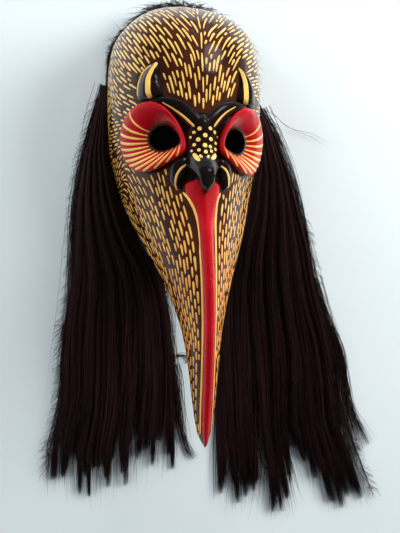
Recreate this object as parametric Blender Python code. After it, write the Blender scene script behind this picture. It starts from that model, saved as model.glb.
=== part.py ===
"""A long-beaked nahual mask of lacquered wood, with a roll and two falls of dark fibre hair.

The mask lies face up on the flat rim of its hollow back. +X is the right of someone who looks at the
face, +Y points past the crown and +Z out of the face. The origin is on the rim's flat, in the middle
of its thickness, at the crown. Everything is in metres.

The mask's outside is a loft of sections from the crown to the tip of the snout. A place on it is given
by two lengths: along, from the crown towards the tip, and across, from the midline round the section.
"""

import math

import bmesh
import bpy
import numpy as np

# The mask's own sizes
HEAD_LENGTH = 0.209
HEAD_WIDTH = 0.174
HEAD_DEPTH = 0.120
SNOUT_LENGTH = 0.252
SQUARENESS = 2.45
ROOF_PITCH = 0.28
BELLY = 0.3
WALL = 0.009
CHIN_WALL = 0.036
HOLLOW_END = 0.245
HOLLOW_CLOSING = 0.055

# The roof-like pitch of the sections is at its full from this share of the mask's length on
ROOF_SHARE = 0.7
# The front takes this share of the turn round a section and the underside takes the rest
FRONT_SHARE = 0.75

# The carving that stands on it
EYE_LENGTH = 0.074
EYE_HEIGHT = 0.064
EYE_RISE = 0.0072
EYE_HOLE_LENGTH = 0.031
EYE_HOLE_HEIGHT = 0.023
BROW_WIDTH = 0.014
BROW_RISE = 0.0045
HORN_LENGTH = 0.036
HORN_WIDTH = 0.027
HORN_RISE = 0.008
BEAK_LENGTH = 0.078
BEAK_WIDTH = 0.032
BEAK_RISE = 0.018
WING_WIDTH = 0.017
WING_RISE = 0.006
LIP_WIDTH = 0.036
LIP_RISE = 0.0035
SINK = 0.004

# The hair
HAIR_GAP = 0.0012
ROLL_WIDTH = 0.012
ROLL_TAPER = 0.6
ROLL_HEIGHT = 0.028
ROLL_REACH = 0.074
FALL_START = 0.080
FALL_THICKNESS = 0.022
FALL_EDGE = 0.003
LOCK_DEPTH = 0.35
LOCK_NOTCH = 0.012

# Place, as a share of the head's length up to 1 and 1 plus a share of the snout's beyond it,
# then half the width as a share of half the head's, and the heights of the ridge and of the
# underside as shares of the head's depth
STATIONS = (
    (0.000, 0.000, 0.000, 0.000),
    (0.019, 0.295, 0.283, 0.000),
    (0.065, 0.557, 0.496, 0.000),
    (0.139, 0.784, 0.700, 0.000),
    (0.249, 0.948, 0.868, 0.000),
    (0.388, 0.982, 0.967, 0.000),
    (0.545, 0.990, 1.000, 0.000),
    (0.737, 0.978, 1.000, 0.000),
    (0.885, 0.915, 0.992, 0.000),
    (1.024, 0.812, 1.008, 0.083),
    (1.139, 0.688, 1.058, 0.283),
    (1.238, 0.560, 1.108, 0.458),
    (1.345, 0.420, 1.150, 0.608),
    (1.456, 0.301, 1.162, 0.733),
    (1.575, 0.210, 1.142, 0.817),
    (1.714, 0.157, 1.092, 0.867),
    (1.853, 0.116, 1.025, 0.875),
    (1.952, 0.068, 0.971, 0.875),
    (2.000, 0.000, 0.921, 0.921),
)

# The centre of the eye disc and of the hole in it, across and along
EYE_PLACE = (0.054, 0.1650)
EYE_HOLE_PLACE = (0.0385, 0.167)
EYE_CORNER_DROP = 0.175

# The disc's section, as (0 at the centre, 1 at the hole's edge, 2 at the disc's; share of its rise)
EYE_PROFILE = (
    (0.00, -0.25),
    (1.00, -0.25),
    (1.22, 0.40),
    (1.50, 0.85),
    (1.78, 1.00),
    (1.94, 0.92),
    (2.00, 0.72),
    (2.00, -0.50),
    (1.00, -0.60),
    (0.00, -0.60),
)

# Outer edge of each fall, as (along, across), then its inner edge past the jaw, then the ends of the
# locks as (share of the width from the outer edge, along)
LEFT_OUTER = (
    (0.080, 0.0925),
    (0.130, 0.1045),
    (0.180, 0.1165),
    (0.240, 0.1240),
    (0.300, 0.1265),
    (0.360, 0.1370),
    (0.440, 0.1410),
    (0.500, 0.1560),
    (0.530, 0.1550),
)
LEFT_INNER = (
    (0.215, 0.0745),
    (0.250, 0.0570),
    (0.300, 0.0260),
    (0.360, 0.0145),
    (0.440, 0.0120),
    (0.530, 0.0140),
)
LEFT_ENDS = (
    (0.00, 0.512),
    (0.06, 0.527),
    (0.32, 0.538),
    (0.53, 0.537),
    (0.70, 0.520),
    (0.84, 0.516),
    (1.00, 0.530),
)
LEFT_LOCKS = 6
RIGHT_OUTER = (
    (0.080, 0.0945),
    (0.097, 0.1010),
    (0.127, 0.1170),
    (0.167, 0.1330),
    (0.208, 0.1440),
    (0.266, 0.1610),
    (0.330, 0.1740),
    (0.380, 0.1910),
    (0.420, 0.1990),
    (0.470, 0.2000),
    (0.520, 0.2190),
    (0.595, 0.2480),
)
RIGHT_INNER = (
    (0.215, 0.0745),
    (0.250, 0.0590),
    (0.300, 0.0430),
    (0.400, 0.0360),
    (0.600, 0.0370),
)
RIGHT_ENDS = (
    (0.00, 0.588),
    (0.15, 0.595),
    (0.30, 0.587),
    (0.40, 0.560),
    (0.45, 0.492),
    (0.50, 0.562),
    (0.62, 0.586),
    (0.76, 0.570),
    (0.88, 0.574),
    (1.00, 0.568),
)
RIGHT_LOCKS = 7

# How finely each form is built, as rings from pole to pole and segments round it
COUNTS = {
    "mask": (32, 48),
    "hollow": (16, 28),
    "beak": (16, 16),
    "lip": (20, 12),
    "eye disc": (9, 32),
    "eye hole": (4, 24),
    "brow": (12, 12),
    "horn": (12, 14),
    "wing": (10, 12),
    "hair_crown": (26, 10),
}
COLUMNS_PER_LOCK = 4
FALL_ROWS = 14

LACQUER = ("lacquered wood", (0.045, 0.011, 0.007, 1), 0.25)
FIBRE = ("dark fibre hair", (0.009, 0.004, 0.004, 1), 0.6)


def fair(at, places, values):
    """Reads a smooth curve through (places, values) that never overshoots them."""
    places, values = np.asarray(places, float), np.asarray(values, float)
    gaps = np.diff(places)
    slopes = np.diff(values) / gaps
    turns = np.concatenate([slopes[:1], np.zeros(len(slopes) - 1), slopes[-1:]])
    same = slopes[:-1] * slopes[1:] > 0
    turns[1:-1][same] = 2 * slopes[:-1][same] * slopes[1:][same] / (slopes[:-1] + slopes[1:])[same]
    i = np.clip(np.searchsorted(places, at) - 1, 0, len(places) - 2)
    t = np.clip((at - places[i]) / gaps[i], 0, 1)
    return (
        (1 + 2 * t) * (1 - t) ** 2 * values[i]
        + t * (1 - t) ** 2 * gaps[i] * turns[i]
        + t * t * (3 - 2 * t) * values[i + 1]
        + t * t * (t - 1) * gaps[i] * turns[i + 1]
    )


def ease(start, end, at):
    """Rises smoothly from 0 at start to 1 at end."""
    t = np.clip((at - start) / (end - start), 0, 1)
    return t * t * (3 - 2 * t)


def power(value, exponent):
    """Raises the size of a number to a power and keeps its sign."""
    return np.sign(value) * np.abs(value) ** exponent


MASK_LENGTH = HEAD_LENGTH + SNOUT_LENGTH
PLACES = [min(row[0], 1) * HEAD_LENGTH + max(row[0] - 1, 0) * SNOUT_LENGTH for row in STATIONS]


def half_width(along):
    return fair(along, PLACES, [row[1] * HEAD_WIDTH / 2 for row in STATIONS])


def ridge_height(along):
    return fair(along, PLACES, [row[2] * HEAD_DEPTH for row in STATIONS])


def underside(along):
    return fair(along, PLACES, [row[3] * HEAD_DEPTH for row in STATIONS])


def section(along, turn):
    """The shares of the half width and of the height that a section has at this turn of its front."""
    side = power(np.sin(turn), 2 / SQUARENESS)
    rise = np.abs(np.cos(turn)) ** (2 / SQUARENESS)
    return side, rise * (1 - ROOF_PITCH * ease(0, ROOF_SHARE * MASK_LENGTH, along) * np.abs(side))


def front(along, turn):
    """A point of the mask's front: turn runs from -90 degrees on the left edge to 90 on the right."""
    side, rise = section(along, turn)
    low = underside(along)
    height = low + (ridge_height(along) - low) * rise
    return np.stack(np.broadcast_arrays(half_width(along) * side, WALL / 2 - along, height), -1)


def on_front(across, along):
    """The point of the front at these lengths across and along."""
    turns = np.radians(np.linspace(-90, 90, 121))
    middle = len(turns) // 2
    points = front(along[:, None], turns[None, :])
    steps = np.linalg.norm(np.diff(points, axis=1), axis=2)
    lengths = np.concatenate([np.zeros((len(along), 1)), np.cumsum(steps, axis=1)], axis=1)
    lengths -= lengths[:, middle : middle + 1]
    turn = np.array([np.interp(a, row, turns) for a, row in zip(across, lengths)])
    return front(along, turn)


def over_front(across, along, rise):
    """The point that stands this much proud of the front, square to it."""
    near = 0.001
    point = on_front(across, along)
    sideways = on_front(across + near, along) - on_front(across - near, along)
    lengthways = on_front(across, along - near) - on_front(across, along + near)
    normal = np.cross(sideways, lengthways)
    normal /= np.linalg.norm(normal, axis=1, keepdims=True)
    return point + normal * rise[:, None]


def collection(name):
    made = bpy.data.collections.new(name)
    bpy.context.scene.collection.children.link(made)
    return made


def add_object(name, form, into):
    """Turns a bmesh with its faces out into an object with smooth shading."""
    bmesh.ops.triangulate(form, faces=form.faces)
    bmesh.ops.recalc_face_normals(form, faces=form.faces)
    if form.calc_volume(signed=True) < 0:
        bmesh.ops.reverse_faces(form, faces=form.faces)
    mesh = bpy.data.meshes.new(name)
    form.to_mesh(mesh)
    form.free()
    mesh.shade_smooth()
    mesh.set_sharp_from_angle(angle=math.radians(40))
    made = bpy.data.objects.new(name, mesh)
    into.objects.link(made)
    return made


def loft(name, place, into, side=""):
    """Moves a UV sphere's points to place(share from pole to pole, share of the turn round it)."""
    rings, segments = COUNTS[name]
    form = bmesh.new()
    bmesh.ops.create_uvsphere(form, u_segments=segments, v_segments=rings, radius=1)
    points = np.array([v.co for v in form.verts])
    share = np.round(np.arccos(np.clip(points[:, 2], -1, 1)) / math.pi * rings) / rings
    turn = np.round(np.arctan2(points[:, 1], points[:, 0]) / (2 * math.pi) * segments) % segments / segments
    for vertex, point in zip(form.verts, place(share, turn)):
        vertex.co = point
    return add_object((name + " " + side).strip(), form, into)


def front_turn(turn):
    """The turn from -90 to 90 degrees over the front, and 0 to 1 back along the underside."""
    over = turn <= FRONT_SHARE
    angle = math.pi * (np.where(over, turn / FRONT_SHARE, 0) - 0.5)
    return over, angle, (turn - FRONT_SHARE) / (1 - FRONT_SHARE)


def head_and_snout(share, turn):
    """The closed outside: the front, and the underside that is flat at the head and full at the snout."""
    along = MASK_LENGTH * (1 - np.cos(math.pi * share)) / 2
    over, angle, back = front_turn(turn)
    point = front(along, angle)
    width = half_width(along)
    belly = np.minimum(BELLY * width, underside(along)) * np.sin(math.pi * back)
    under = np.stack([width * (1 - 2 * back), point[:, 1], underside(along) - belly], -1)
    return np.where(over[:, None], point, under)


def hollow(share, turn):
    """The face hollow: the outside drawn in by the wall, open below, its lower end in the chin."""
    inner = (HOLLOW_END - WALL) * (1 - np.cos(math.pi * share)) / 2
    along = WALL + inner
    outer = inner * HEAD_LENGTH / (HEAD_LENGTH - WALL)
    past = np.maximum(along - HOLLOW_END + HOLLOW_CLOSING, 0) / HOLLOW_CLOSING
    closing = np.sqrt(np.clip(1 - past**2, 0, 1))
    width = half_width(outer) * (1 - 2 * WALL / HEAD_WIDTH) * closing
    top = ridge_height(outer) * (1 - WALL / HEAD_DEPTH)
    low = underside(along + CHIN_WALL) - SINK
    middle = (top + low) / 2
    top = middle + (top - middle) * closing
    low = middle + (low - middle) * closing
    over, angle, back = front_turn(turn)
    side, rise = section(along, angle)
    x = width * np.where(over, side, 1 - 2 * back)
    z = np.where(over, low + (top - low) * rise, low)
    return np.stack([x, WALL / 2 - along, z], -1)


def teardrop(turn, centre, length, height):
    """The eye's outline: round outside, drawn down to a corner towards the nose."""
    angle = 2 * math.pi * turn
    inward = np.maximum(0, -np.cos(angle))
    reach = np.where(inward > 0, 0.52, 0.48) * length
    across = centre[0] + reach * np.cos(angle)
    along = centre[1] - height / 2 * np.sin(angle) * (1 - 0.25 * inward**2)
    return across, along + EYE_CORNER_DROP * height * inward**3


def eye_disc(side):
    """The domed disc: it falls as a funnel to the hole and ends in an upright edge."""
    reaches, rises = zip(*EYE_PROFILE)

    def place(share, turn):
        reach = np.interp(share * (len(reaches) - 1), range(len(reaches)), reaches)
        rise = np.interp(share * (len(rises) - 1), range(len(rises)), rises) * EYE_RISE
        inner = teardrop(turn, EYE_HOLE_PLACE, EYE_HOLE_LENGTH, EYE_HOLE_HEIGHT)
        outer = teardrop(turn, EYE_PLACE, EYE_LENGTH, EYE_HEIGHT)
        across, along = (
            centre + (near - centre) * np.minimum(reach, 1) + (far - near) * np.maximum(reach - 1, 0)
            for centre, near, far in zip(EYE_HOLE_PLACE, inner, outer)
        )
        return over_front(side * across, along, rise)

    return place


def eye_hole(side):
    """The cutter of the eye hole, wider in front than behind."""
    sizes = (0, 1.1, 1.0, 0.9, 0)
    rises = (WALL, WALL, 0, -1.7 * WALL, -1.7 * WALL)

    def place(share, turn):
        step = share * (len(sizes) - 1)
        size = np.interp(step, range(len(sizes)), sizes)
        across, along = teardrop(turn, EYE_HOLE_PLACE, EYE_HOLE_LENGTH, EYE_HOLE_HEIGHT)
        across = EYE_HOLE_PLACE[0] + (across - EYE_HOLE_PLACE[0]) * size
        along = EYE_HOLE_PLACE[1] + (along - EYE_HOLE_PLACE[1]) * size
        return over_front(side * across, along, np.interp(step, range(len(rises)), rises))

    return place


def carved_ridge(side, rows, width, rise, fullness):
    """A raised band along rows of (across, along, share of the width, share of the rise)."""
    across, along, widths, rises = np.array(rows).T
    steps = np.arange(len(rows))

    def place(share, turn):
        at = share * steps[-1]
        near = 0.02
        way = [fair(at + near, steps, v) - fair(at - near, steps, v) for v in (across, along)]
        way = np.array(way) / (np.hypot(*way) + 1e-9)
        angle = 2 * math.pi * turn
        sideways = fair(at, steps, widths) * width / 2 * power(np.cos(angle), 2 / fullness)
        height = fair(at, steps, rises) * rise * np.abs(np.sin(angle)) ** (2 / fullness)
        height = np.where(np.sin(angle) >= -1e-6, height, -SINK * np.minimum(1, -3 * np.sin(angle)))
        return over_front(
            side * (fair(at, steps, across) + sideways * way[1]),
            fair(at, steps, along) - sideways * way[0],
            height,
        )

    return place


BROW = (
    (0.058, 0.1315, 0, 0),
    (0.048, 0.1330, 0.55, 0.8),
    (0.036, 0.1350, 0.8, 1),
    (0.024, 0.1400, 1, 1),
    (0.013, 0.1490, 1.1, 1),
    (0.004, 0.1580, 1.1, 0.9),
    (0.000, 0.1640, 0, 0),
)
HORN_TOP = 0.0955
HORN = (
    (0.0405, HORN_TOP, 0, 0),
    (0.0445, HORN_TOP + 0.17 * HORN_LENGTH, 0.34, 0.5),
    (0.0490, HORN_TOP + 0.40 * HORN_LENGTH, 0.68, 0.8),
    (0.0510, HORN_TOP + 0.65 * HORN_LENGTH, 0.92, 1),
    (0.0510, HORN_TOP + 0.88 * HORN_LENGTH, 1, 1),
    (0.0505, HORN_TOP + 1.10 * HORN_LENGTH, 0, 0),
)
BEAK_TOP = 0.146
BEAK = (
    (0, BEAK_TOP, 0, 0),
    (0, BEAK_TOP + 0.12 * BEAK_LENGTH, 0.72, 0.26),
    (0, BEAK_TOP + 0.31 * BEAK_LENGTH, 0.94, 0.31),
    (0, BEAK_TOP + 0.50 * BEAK_LENGTH, 1, 0.44),
    (0, BEAK_TOP + 0.63 * BEAK_LENGTH, 0.94, 0.74),
    (0, BEAK_TOP + 0.76 * BEAK_LENGTH, 0.72, 0.98),
    (0, BEAK_TOP + 0.89 * BEAK_LENGTH, 0.40, 1),
    (0, BEAK_TOP + 0.97 * BEAK_LENGTH, 0.18, 0.84),
    (0, BEAK_TOP + BEAK_LENGTH, 0, 0.5),
)
WING = (
    (0.0130, 0.1870, 0, 0),
    (0.0195, 0.1905, 0.8, 0.8),
    (0.0240, 0.1980, 1, 1),
    (0.0245, 0.2075, 0.95, 0.9),
    (0.0215, 0.2180, 0, 0),
)
LIP = (
    (0, 0.2050, 0, 0),
    (0, 0.2130, 1, 1),
    (0, 0.2250, 0.92, 1),
    (0, 0.2380, 0.64, 1),
    (0, 0.2560, 0.44, 1),
    (0, 0.2900, 0.37, 1),
    (0, 0.3500, 0.34, 1),
    (0, 0.4100, 0.33, 0.9),
    (0, 0.4380, 0.26, 0.7),
    (0, 0.4510, 0, 0),
)


def hair_roll(share, turn):
    """The roll round the crown, hugging the outer edge of the rim."""
    steps = np.linspace(0, 1, 200)
    reach = ROLL_REACH * np.abs(2 * steps - 1) ** 1.6
    plan = np.stack([np.sign(steps - 0.5) * half_width(reach), WALL / 2 - reach], -1)
    run = np.concatenate([[0], np.cumsum(np.linalg.norm(np.diff(plan, axis=0), axis=1))])
    at = share * run[-1]
    near = 0.004
    x, y = (np.interp(at, run, plan[:, k]) for k in (0, 1))
    ahead, behind = (np.stack([np.interp(at + s, run, v) for v in plan.T], -1) for s in (near, -near))
    way = ahead - behind
    way /= np.linalg.norm(way, axis=1, keepdims=True)
    outward = np.abs(2 * share - 1)
    body = np.sqrt(np.clip(1 - outward**4, 0, 1))
    angle = 2 * math.pi * turn
    thickness = ROLL_WIDTH * body * (1 - ROLL_TAPER * outward**2)
    out = HAIR_GAP + thickness * (1 + power(np.cos(angle), 0.8)) / 2
    height = ROLL_HEIGHT * body * (1 - ROLL_TAPER * outward**2)
    up = height * np.maximum(0, power(np.sin(angle), 0.8))
    return np.stack([x - way[:, 1] * out, y + way[:, 0] * out, up], -1)


def hair_fall(name, side, outer, inner, ends, locks, into):
    """A fall of hair on the floor: a sheet with a crown to each lock, thickened down to the floor."""
    form = bmesh.new()
    bmesh.ops.create_grid(form, x_segments=COLUMNS_PER_LOCK * locks, y_segments=FALL_ROWS, size=0.5)
    floor = form.faces[:]
    raised = bmesh.ops.extrude_face_region(form, geom=floor)
    top = {item for item in raised["geom"] if isinstance(item, bmesh.types.BMVert)}
    share, run = np.array([(v.co.x + 0.5, v.co.y + 0.5) for v in form.verts]).T
    lock = np.abs(np.sin(math.pi * locks * share)) ** 0.7
    length = fair(share, *zip(*ends)) - LOCK_NOTCH * (1 - lock) - FALL_START
    along = FALL_START + length * run
    beside = along < inner[0][0]
    near = np.where(beside, half_width(along) + HAIR_GAP, fair(along, *zip(*inner)))
    far = fair(along, *zip(*outer))
    x = far + (near - far) * share
    body = fair(run, (0, 0.25, 0.7, 1), (0.6, 1, 0.85, 0.15))
    round_over = np.clip(4 * share * (1 - share), 0, 1) ** 0.5
    crown = round_over * (1 - LOCK_DEPTH * (1 - lock)) * body
    height = FALL_EDGE + (FALL_THICKNESS - FALL_EDGE) * crown
    for i, vertex in enumerate(form.verts):
        vertex.co = (side * x[i], WALL / 2 - along[i], height[i] if vertex in top else 0)
    bmesh.ops.dissolve_faces(form, faces=floor)
    return add_object(name, form, into)


def modify(target, operation, other):
    """Joins a form to the target or cuts it out, and leaves the form as a guide."""
    change = target.modifiers.new(other.name, "BOOLEAN")
    change.operation = operation
    change.solver = "EXACT"
    change.object = other
    other.hide_render = True
    other.display_type = "WIRE"


def finish(target, look):
    """Gives the object its material."""
    name, colour, roughness = look
    material = bpy.data.materials.get(name) or bpy.data.materials.new(name)
    material.use_nodes = True
    shader = material.node_tree.nodes["Principled BSDF"]
    shader.inputs["Base Color"].default_value = colour
    shader.inputs["Roughness"].default_value = roughness
    target.data.materials.append(material)


def main():
    for left_over in list(bpy.data.objects):
        bpy.data.objects.remove(left_over)
    parts = collection("nahual mask")
    guides = collection("carving guides")

    mask = loft("mask", head_and_snout, parts)
    carving = [loft("beak", carved_ridge(1, BEAK, BEAK_WIDTH, BEAK_RISE, 2.6), guides)]
    carving.append(loft("lip", carved_ridge(1, LIP, LIP_WIDTH, LIP_RISE, 1.5), guides))
    holes = []
    for side, word in ((-1, "left"), (1, "right")):
        carving.append(loft("eye disc", eye_disc(side), guides, word))
        carving.append(loft("brow", carved_ridge(side, BROW, BROW_WIDTH, BROW_RISE, 2), guides, word))
        carving.append(loft("horn", carved_ridge(side, HORN, HORN_WIDTH, HORN_RISE, 1.7), guides, word))
        carving.append(loft("wing", carved_ridge(side, WING, WING_WIDTH, WING_RISE, 2), guides, word))
        holes.append(loft("eye hole", eye_hole(side), guides, word))
    for form in carving:
        modify(mask, "UNION", form)
    modify(mask, "DIFFERENCE", loft("hollow", hollow, guides))
    for hole in holes:
        modify(mask, "DIFFERENCE", hole)
    finish(mask, LACQUER)

    hair = [loft("hair_crown", hair_roll, parts)]
    hair.append(hair_fall("hair_left", -1, LEFT_OUTER, LEFT_INNER, LEFT_ENDS, LEFT_LOCKS, parts))
    hair.append(hair_fall("hair_right", 1, RIGHT_OUTER, RIGHT_INNER, RIGHT_ENDS, RIGHT_LOCKS, parts))
    for piece in hair:
        finish(piece, FIBRE)


main()
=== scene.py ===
"""A lacquered nahual mask with a long snout and dark fibre hair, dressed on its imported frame.

The mask lies face up. +X is the right of someone who looks at it, +Y points past its crown and +Z out
of its face, in metres. A place on its front is given as across, round the section from the midline,
and along, from the crown towards the tip of the snout.
"""

import logging
import math
from dataclasses import dataclass, field
from enum import Enum
from typing import Callable, Iterable

import bmesh
import bpy
import numpy as np
from mathutils import Matrix, Vector
from mathutils.bvhtree import BVHTree


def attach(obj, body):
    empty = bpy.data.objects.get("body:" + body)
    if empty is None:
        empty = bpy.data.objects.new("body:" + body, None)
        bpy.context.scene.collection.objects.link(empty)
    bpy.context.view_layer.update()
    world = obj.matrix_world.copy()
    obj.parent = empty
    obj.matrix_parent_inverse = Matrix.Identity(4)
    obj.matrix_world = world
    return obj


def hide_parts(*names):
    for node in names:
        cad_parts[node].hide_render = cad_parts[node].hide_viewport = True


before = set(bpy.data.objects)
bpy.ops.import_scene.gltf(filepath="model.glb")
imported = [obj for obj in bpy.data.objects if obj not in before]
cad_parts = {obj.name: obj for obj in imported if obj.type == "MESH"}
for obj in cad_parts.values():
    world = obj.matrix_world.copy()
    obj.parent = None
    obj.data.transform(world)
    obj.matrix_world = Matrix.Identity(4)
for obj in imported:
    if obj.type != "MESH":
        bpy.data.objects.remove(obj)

log = logging.getLogger("nahual mask")
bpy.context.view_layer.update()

Array = np.ndarray
Place = Callable[[Array, Array], Array]
Rows = tuple[tuple[float, ...], ...]


def fair(at: Array, places: Iterable[float], values: Iterable[float]) -> Array:
    """Read a smooth curve that never overshoots its points.

    Args:
        at: Where the curve is read.
        places: The points' places, rising.
        values: The curve's values there.

    Returns:
        The values at the places asked for.
    """
    places, values = np.asarray(places, float), np.asarray(values, float)
    gaps = np.diff(places)
    slopes = np.diff(values) / gaps
    turns = np.concatenate([slopes[:1], np.zeros(len(slopes) - 1), slopes[-1:]])
    same = slopes[:-1] * slopes[1:] > 0
    turns[1:-1][same] = 2 * slopes[:-1][same] * slopes[1:][same] / (slopes[:-1] + slopes[1:])[same]
    i = np.clip(np.searchsorted(places, at) - 1, 0, len(places) - 2)
    t = np.clip((at - places[i]) / gaps[i], 0, 1)
    return (
        (1 + 2 * t) * (1 - t) ** 2 * values[i]
        + t * (1 - t) ** 2 * gaps[i] * turns[i]
        + t * t * (3 - 2 * t) * values[i + 1]
        + t * t * (t - 1) * gaps[i] * turns[i + 1]
    )


def ease(start: float, end: float, at: Array) -> Array:
    """Rise smoothly from 0 at start to 1 at end."""
    t = np.clip((at - start) / (end - start), 0, 1)
    return t * t * (3 - 2 * t)


def power(value: Array, exponent: float) -> Array:
    """Raise the size of a number to a power and keep its sign."""
    return np.sign(value) * np.abs(value) ** exponent


def unit(vectors: Array) -> Array:
    """Scale each vector to a length of one."""
    return vectors / (np.linalg.norm(vectors, axis=-1, keepdims=True) + 1e-12)


# Shapes


def link(name: str, mesh: bpy.types.Mesh) -> bpy.types.Object:
    """Put a mesh into the scene as an object.

    Args:
        name: The object's name.
        mesh: The mesh.

    Returns:
        The object.
    """
    made = bpy.data.objects.new(name, mesh)
    bpy.context.scene.collection.objects.link(made)
    return made


def mesh_of(name: str, form: bmesh.types.BMesh, crease: float = 40) -> bpy.types.Mesh:
    """Turn a bmesh into a smooth mesh that keeps its sharp edges.

    Args:
        name: The mesh's name.
        form: The bmesh, which is freed.
        crease: The angle from which an edge stays sharp, in degrees.

    Returns:
        The mesh.
    """
    mesh = bpy.data.meshes.new(name)
    form.to_mesh(mesh)
    form.free()
    mesh.shade_smooth()
    mesh.set_sharp_from_angle(angle=math.radians(crease))
    return mesh


def closed_form(name: str, rings: int, segments: int, place: Place) -> bpy.types.Object:
    """Move a UV sphere's points to their places on a closed form.

    Args:
        name: The object's name.
        rings: Rings from pole to pole.
        segments: Segments round the form.
        place: Gives the points for shares from pole to pole and shares of the turn.

    Returns:
        The form as an object with its faces pointing out.
    """
    form = bmesh.new()
    bmesh.ops.create_uvsphere(form, u_segments=segments, v_segments=rings, radius=1)
    points = np.array([v.co for v in form.verts])
    share = np.round(np.arccos(np.clip(points[:, 2], -1, 1)) / math.pi * rings) / rings
    turn = np.round(np.arctan2(points[:, 1], points[:, 0]) / (2 * math.pi) * segments) % segments / segments
    for vertex, point in zip(form.verts, place(share, turn)):
        vertex.co = point
    bmesh.ops.triangulate(form, faces=form.faces)
    bmesh.ops.recalc_face_normals(form, faces=form.faces)
    if form.calc_volume(signed=True) < 0:
        bmesh.ops.reverse_faces(form, faces=form.faces)
    return link(name, mesh_of(name, form))


def as_mesh(source: bpy.types.Object, name: str) -> bpy.types.Object:
    """Replace an object by a mesh of what its modifiers or its curve make.

    Args:
        source: The object, which is removed.
        name: The new object's name.

    Returns:
        The new object.
    """
    bpy.context.view_layer.update()
    mesh = bpy.data.meshes.new_from_object(source.evaluated_get(bpy.context.evaluated_depsgraph_get()))
    mesh.name = name
    bpy.data.objects.remove(source)
    return link(name, mesh)


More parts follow.
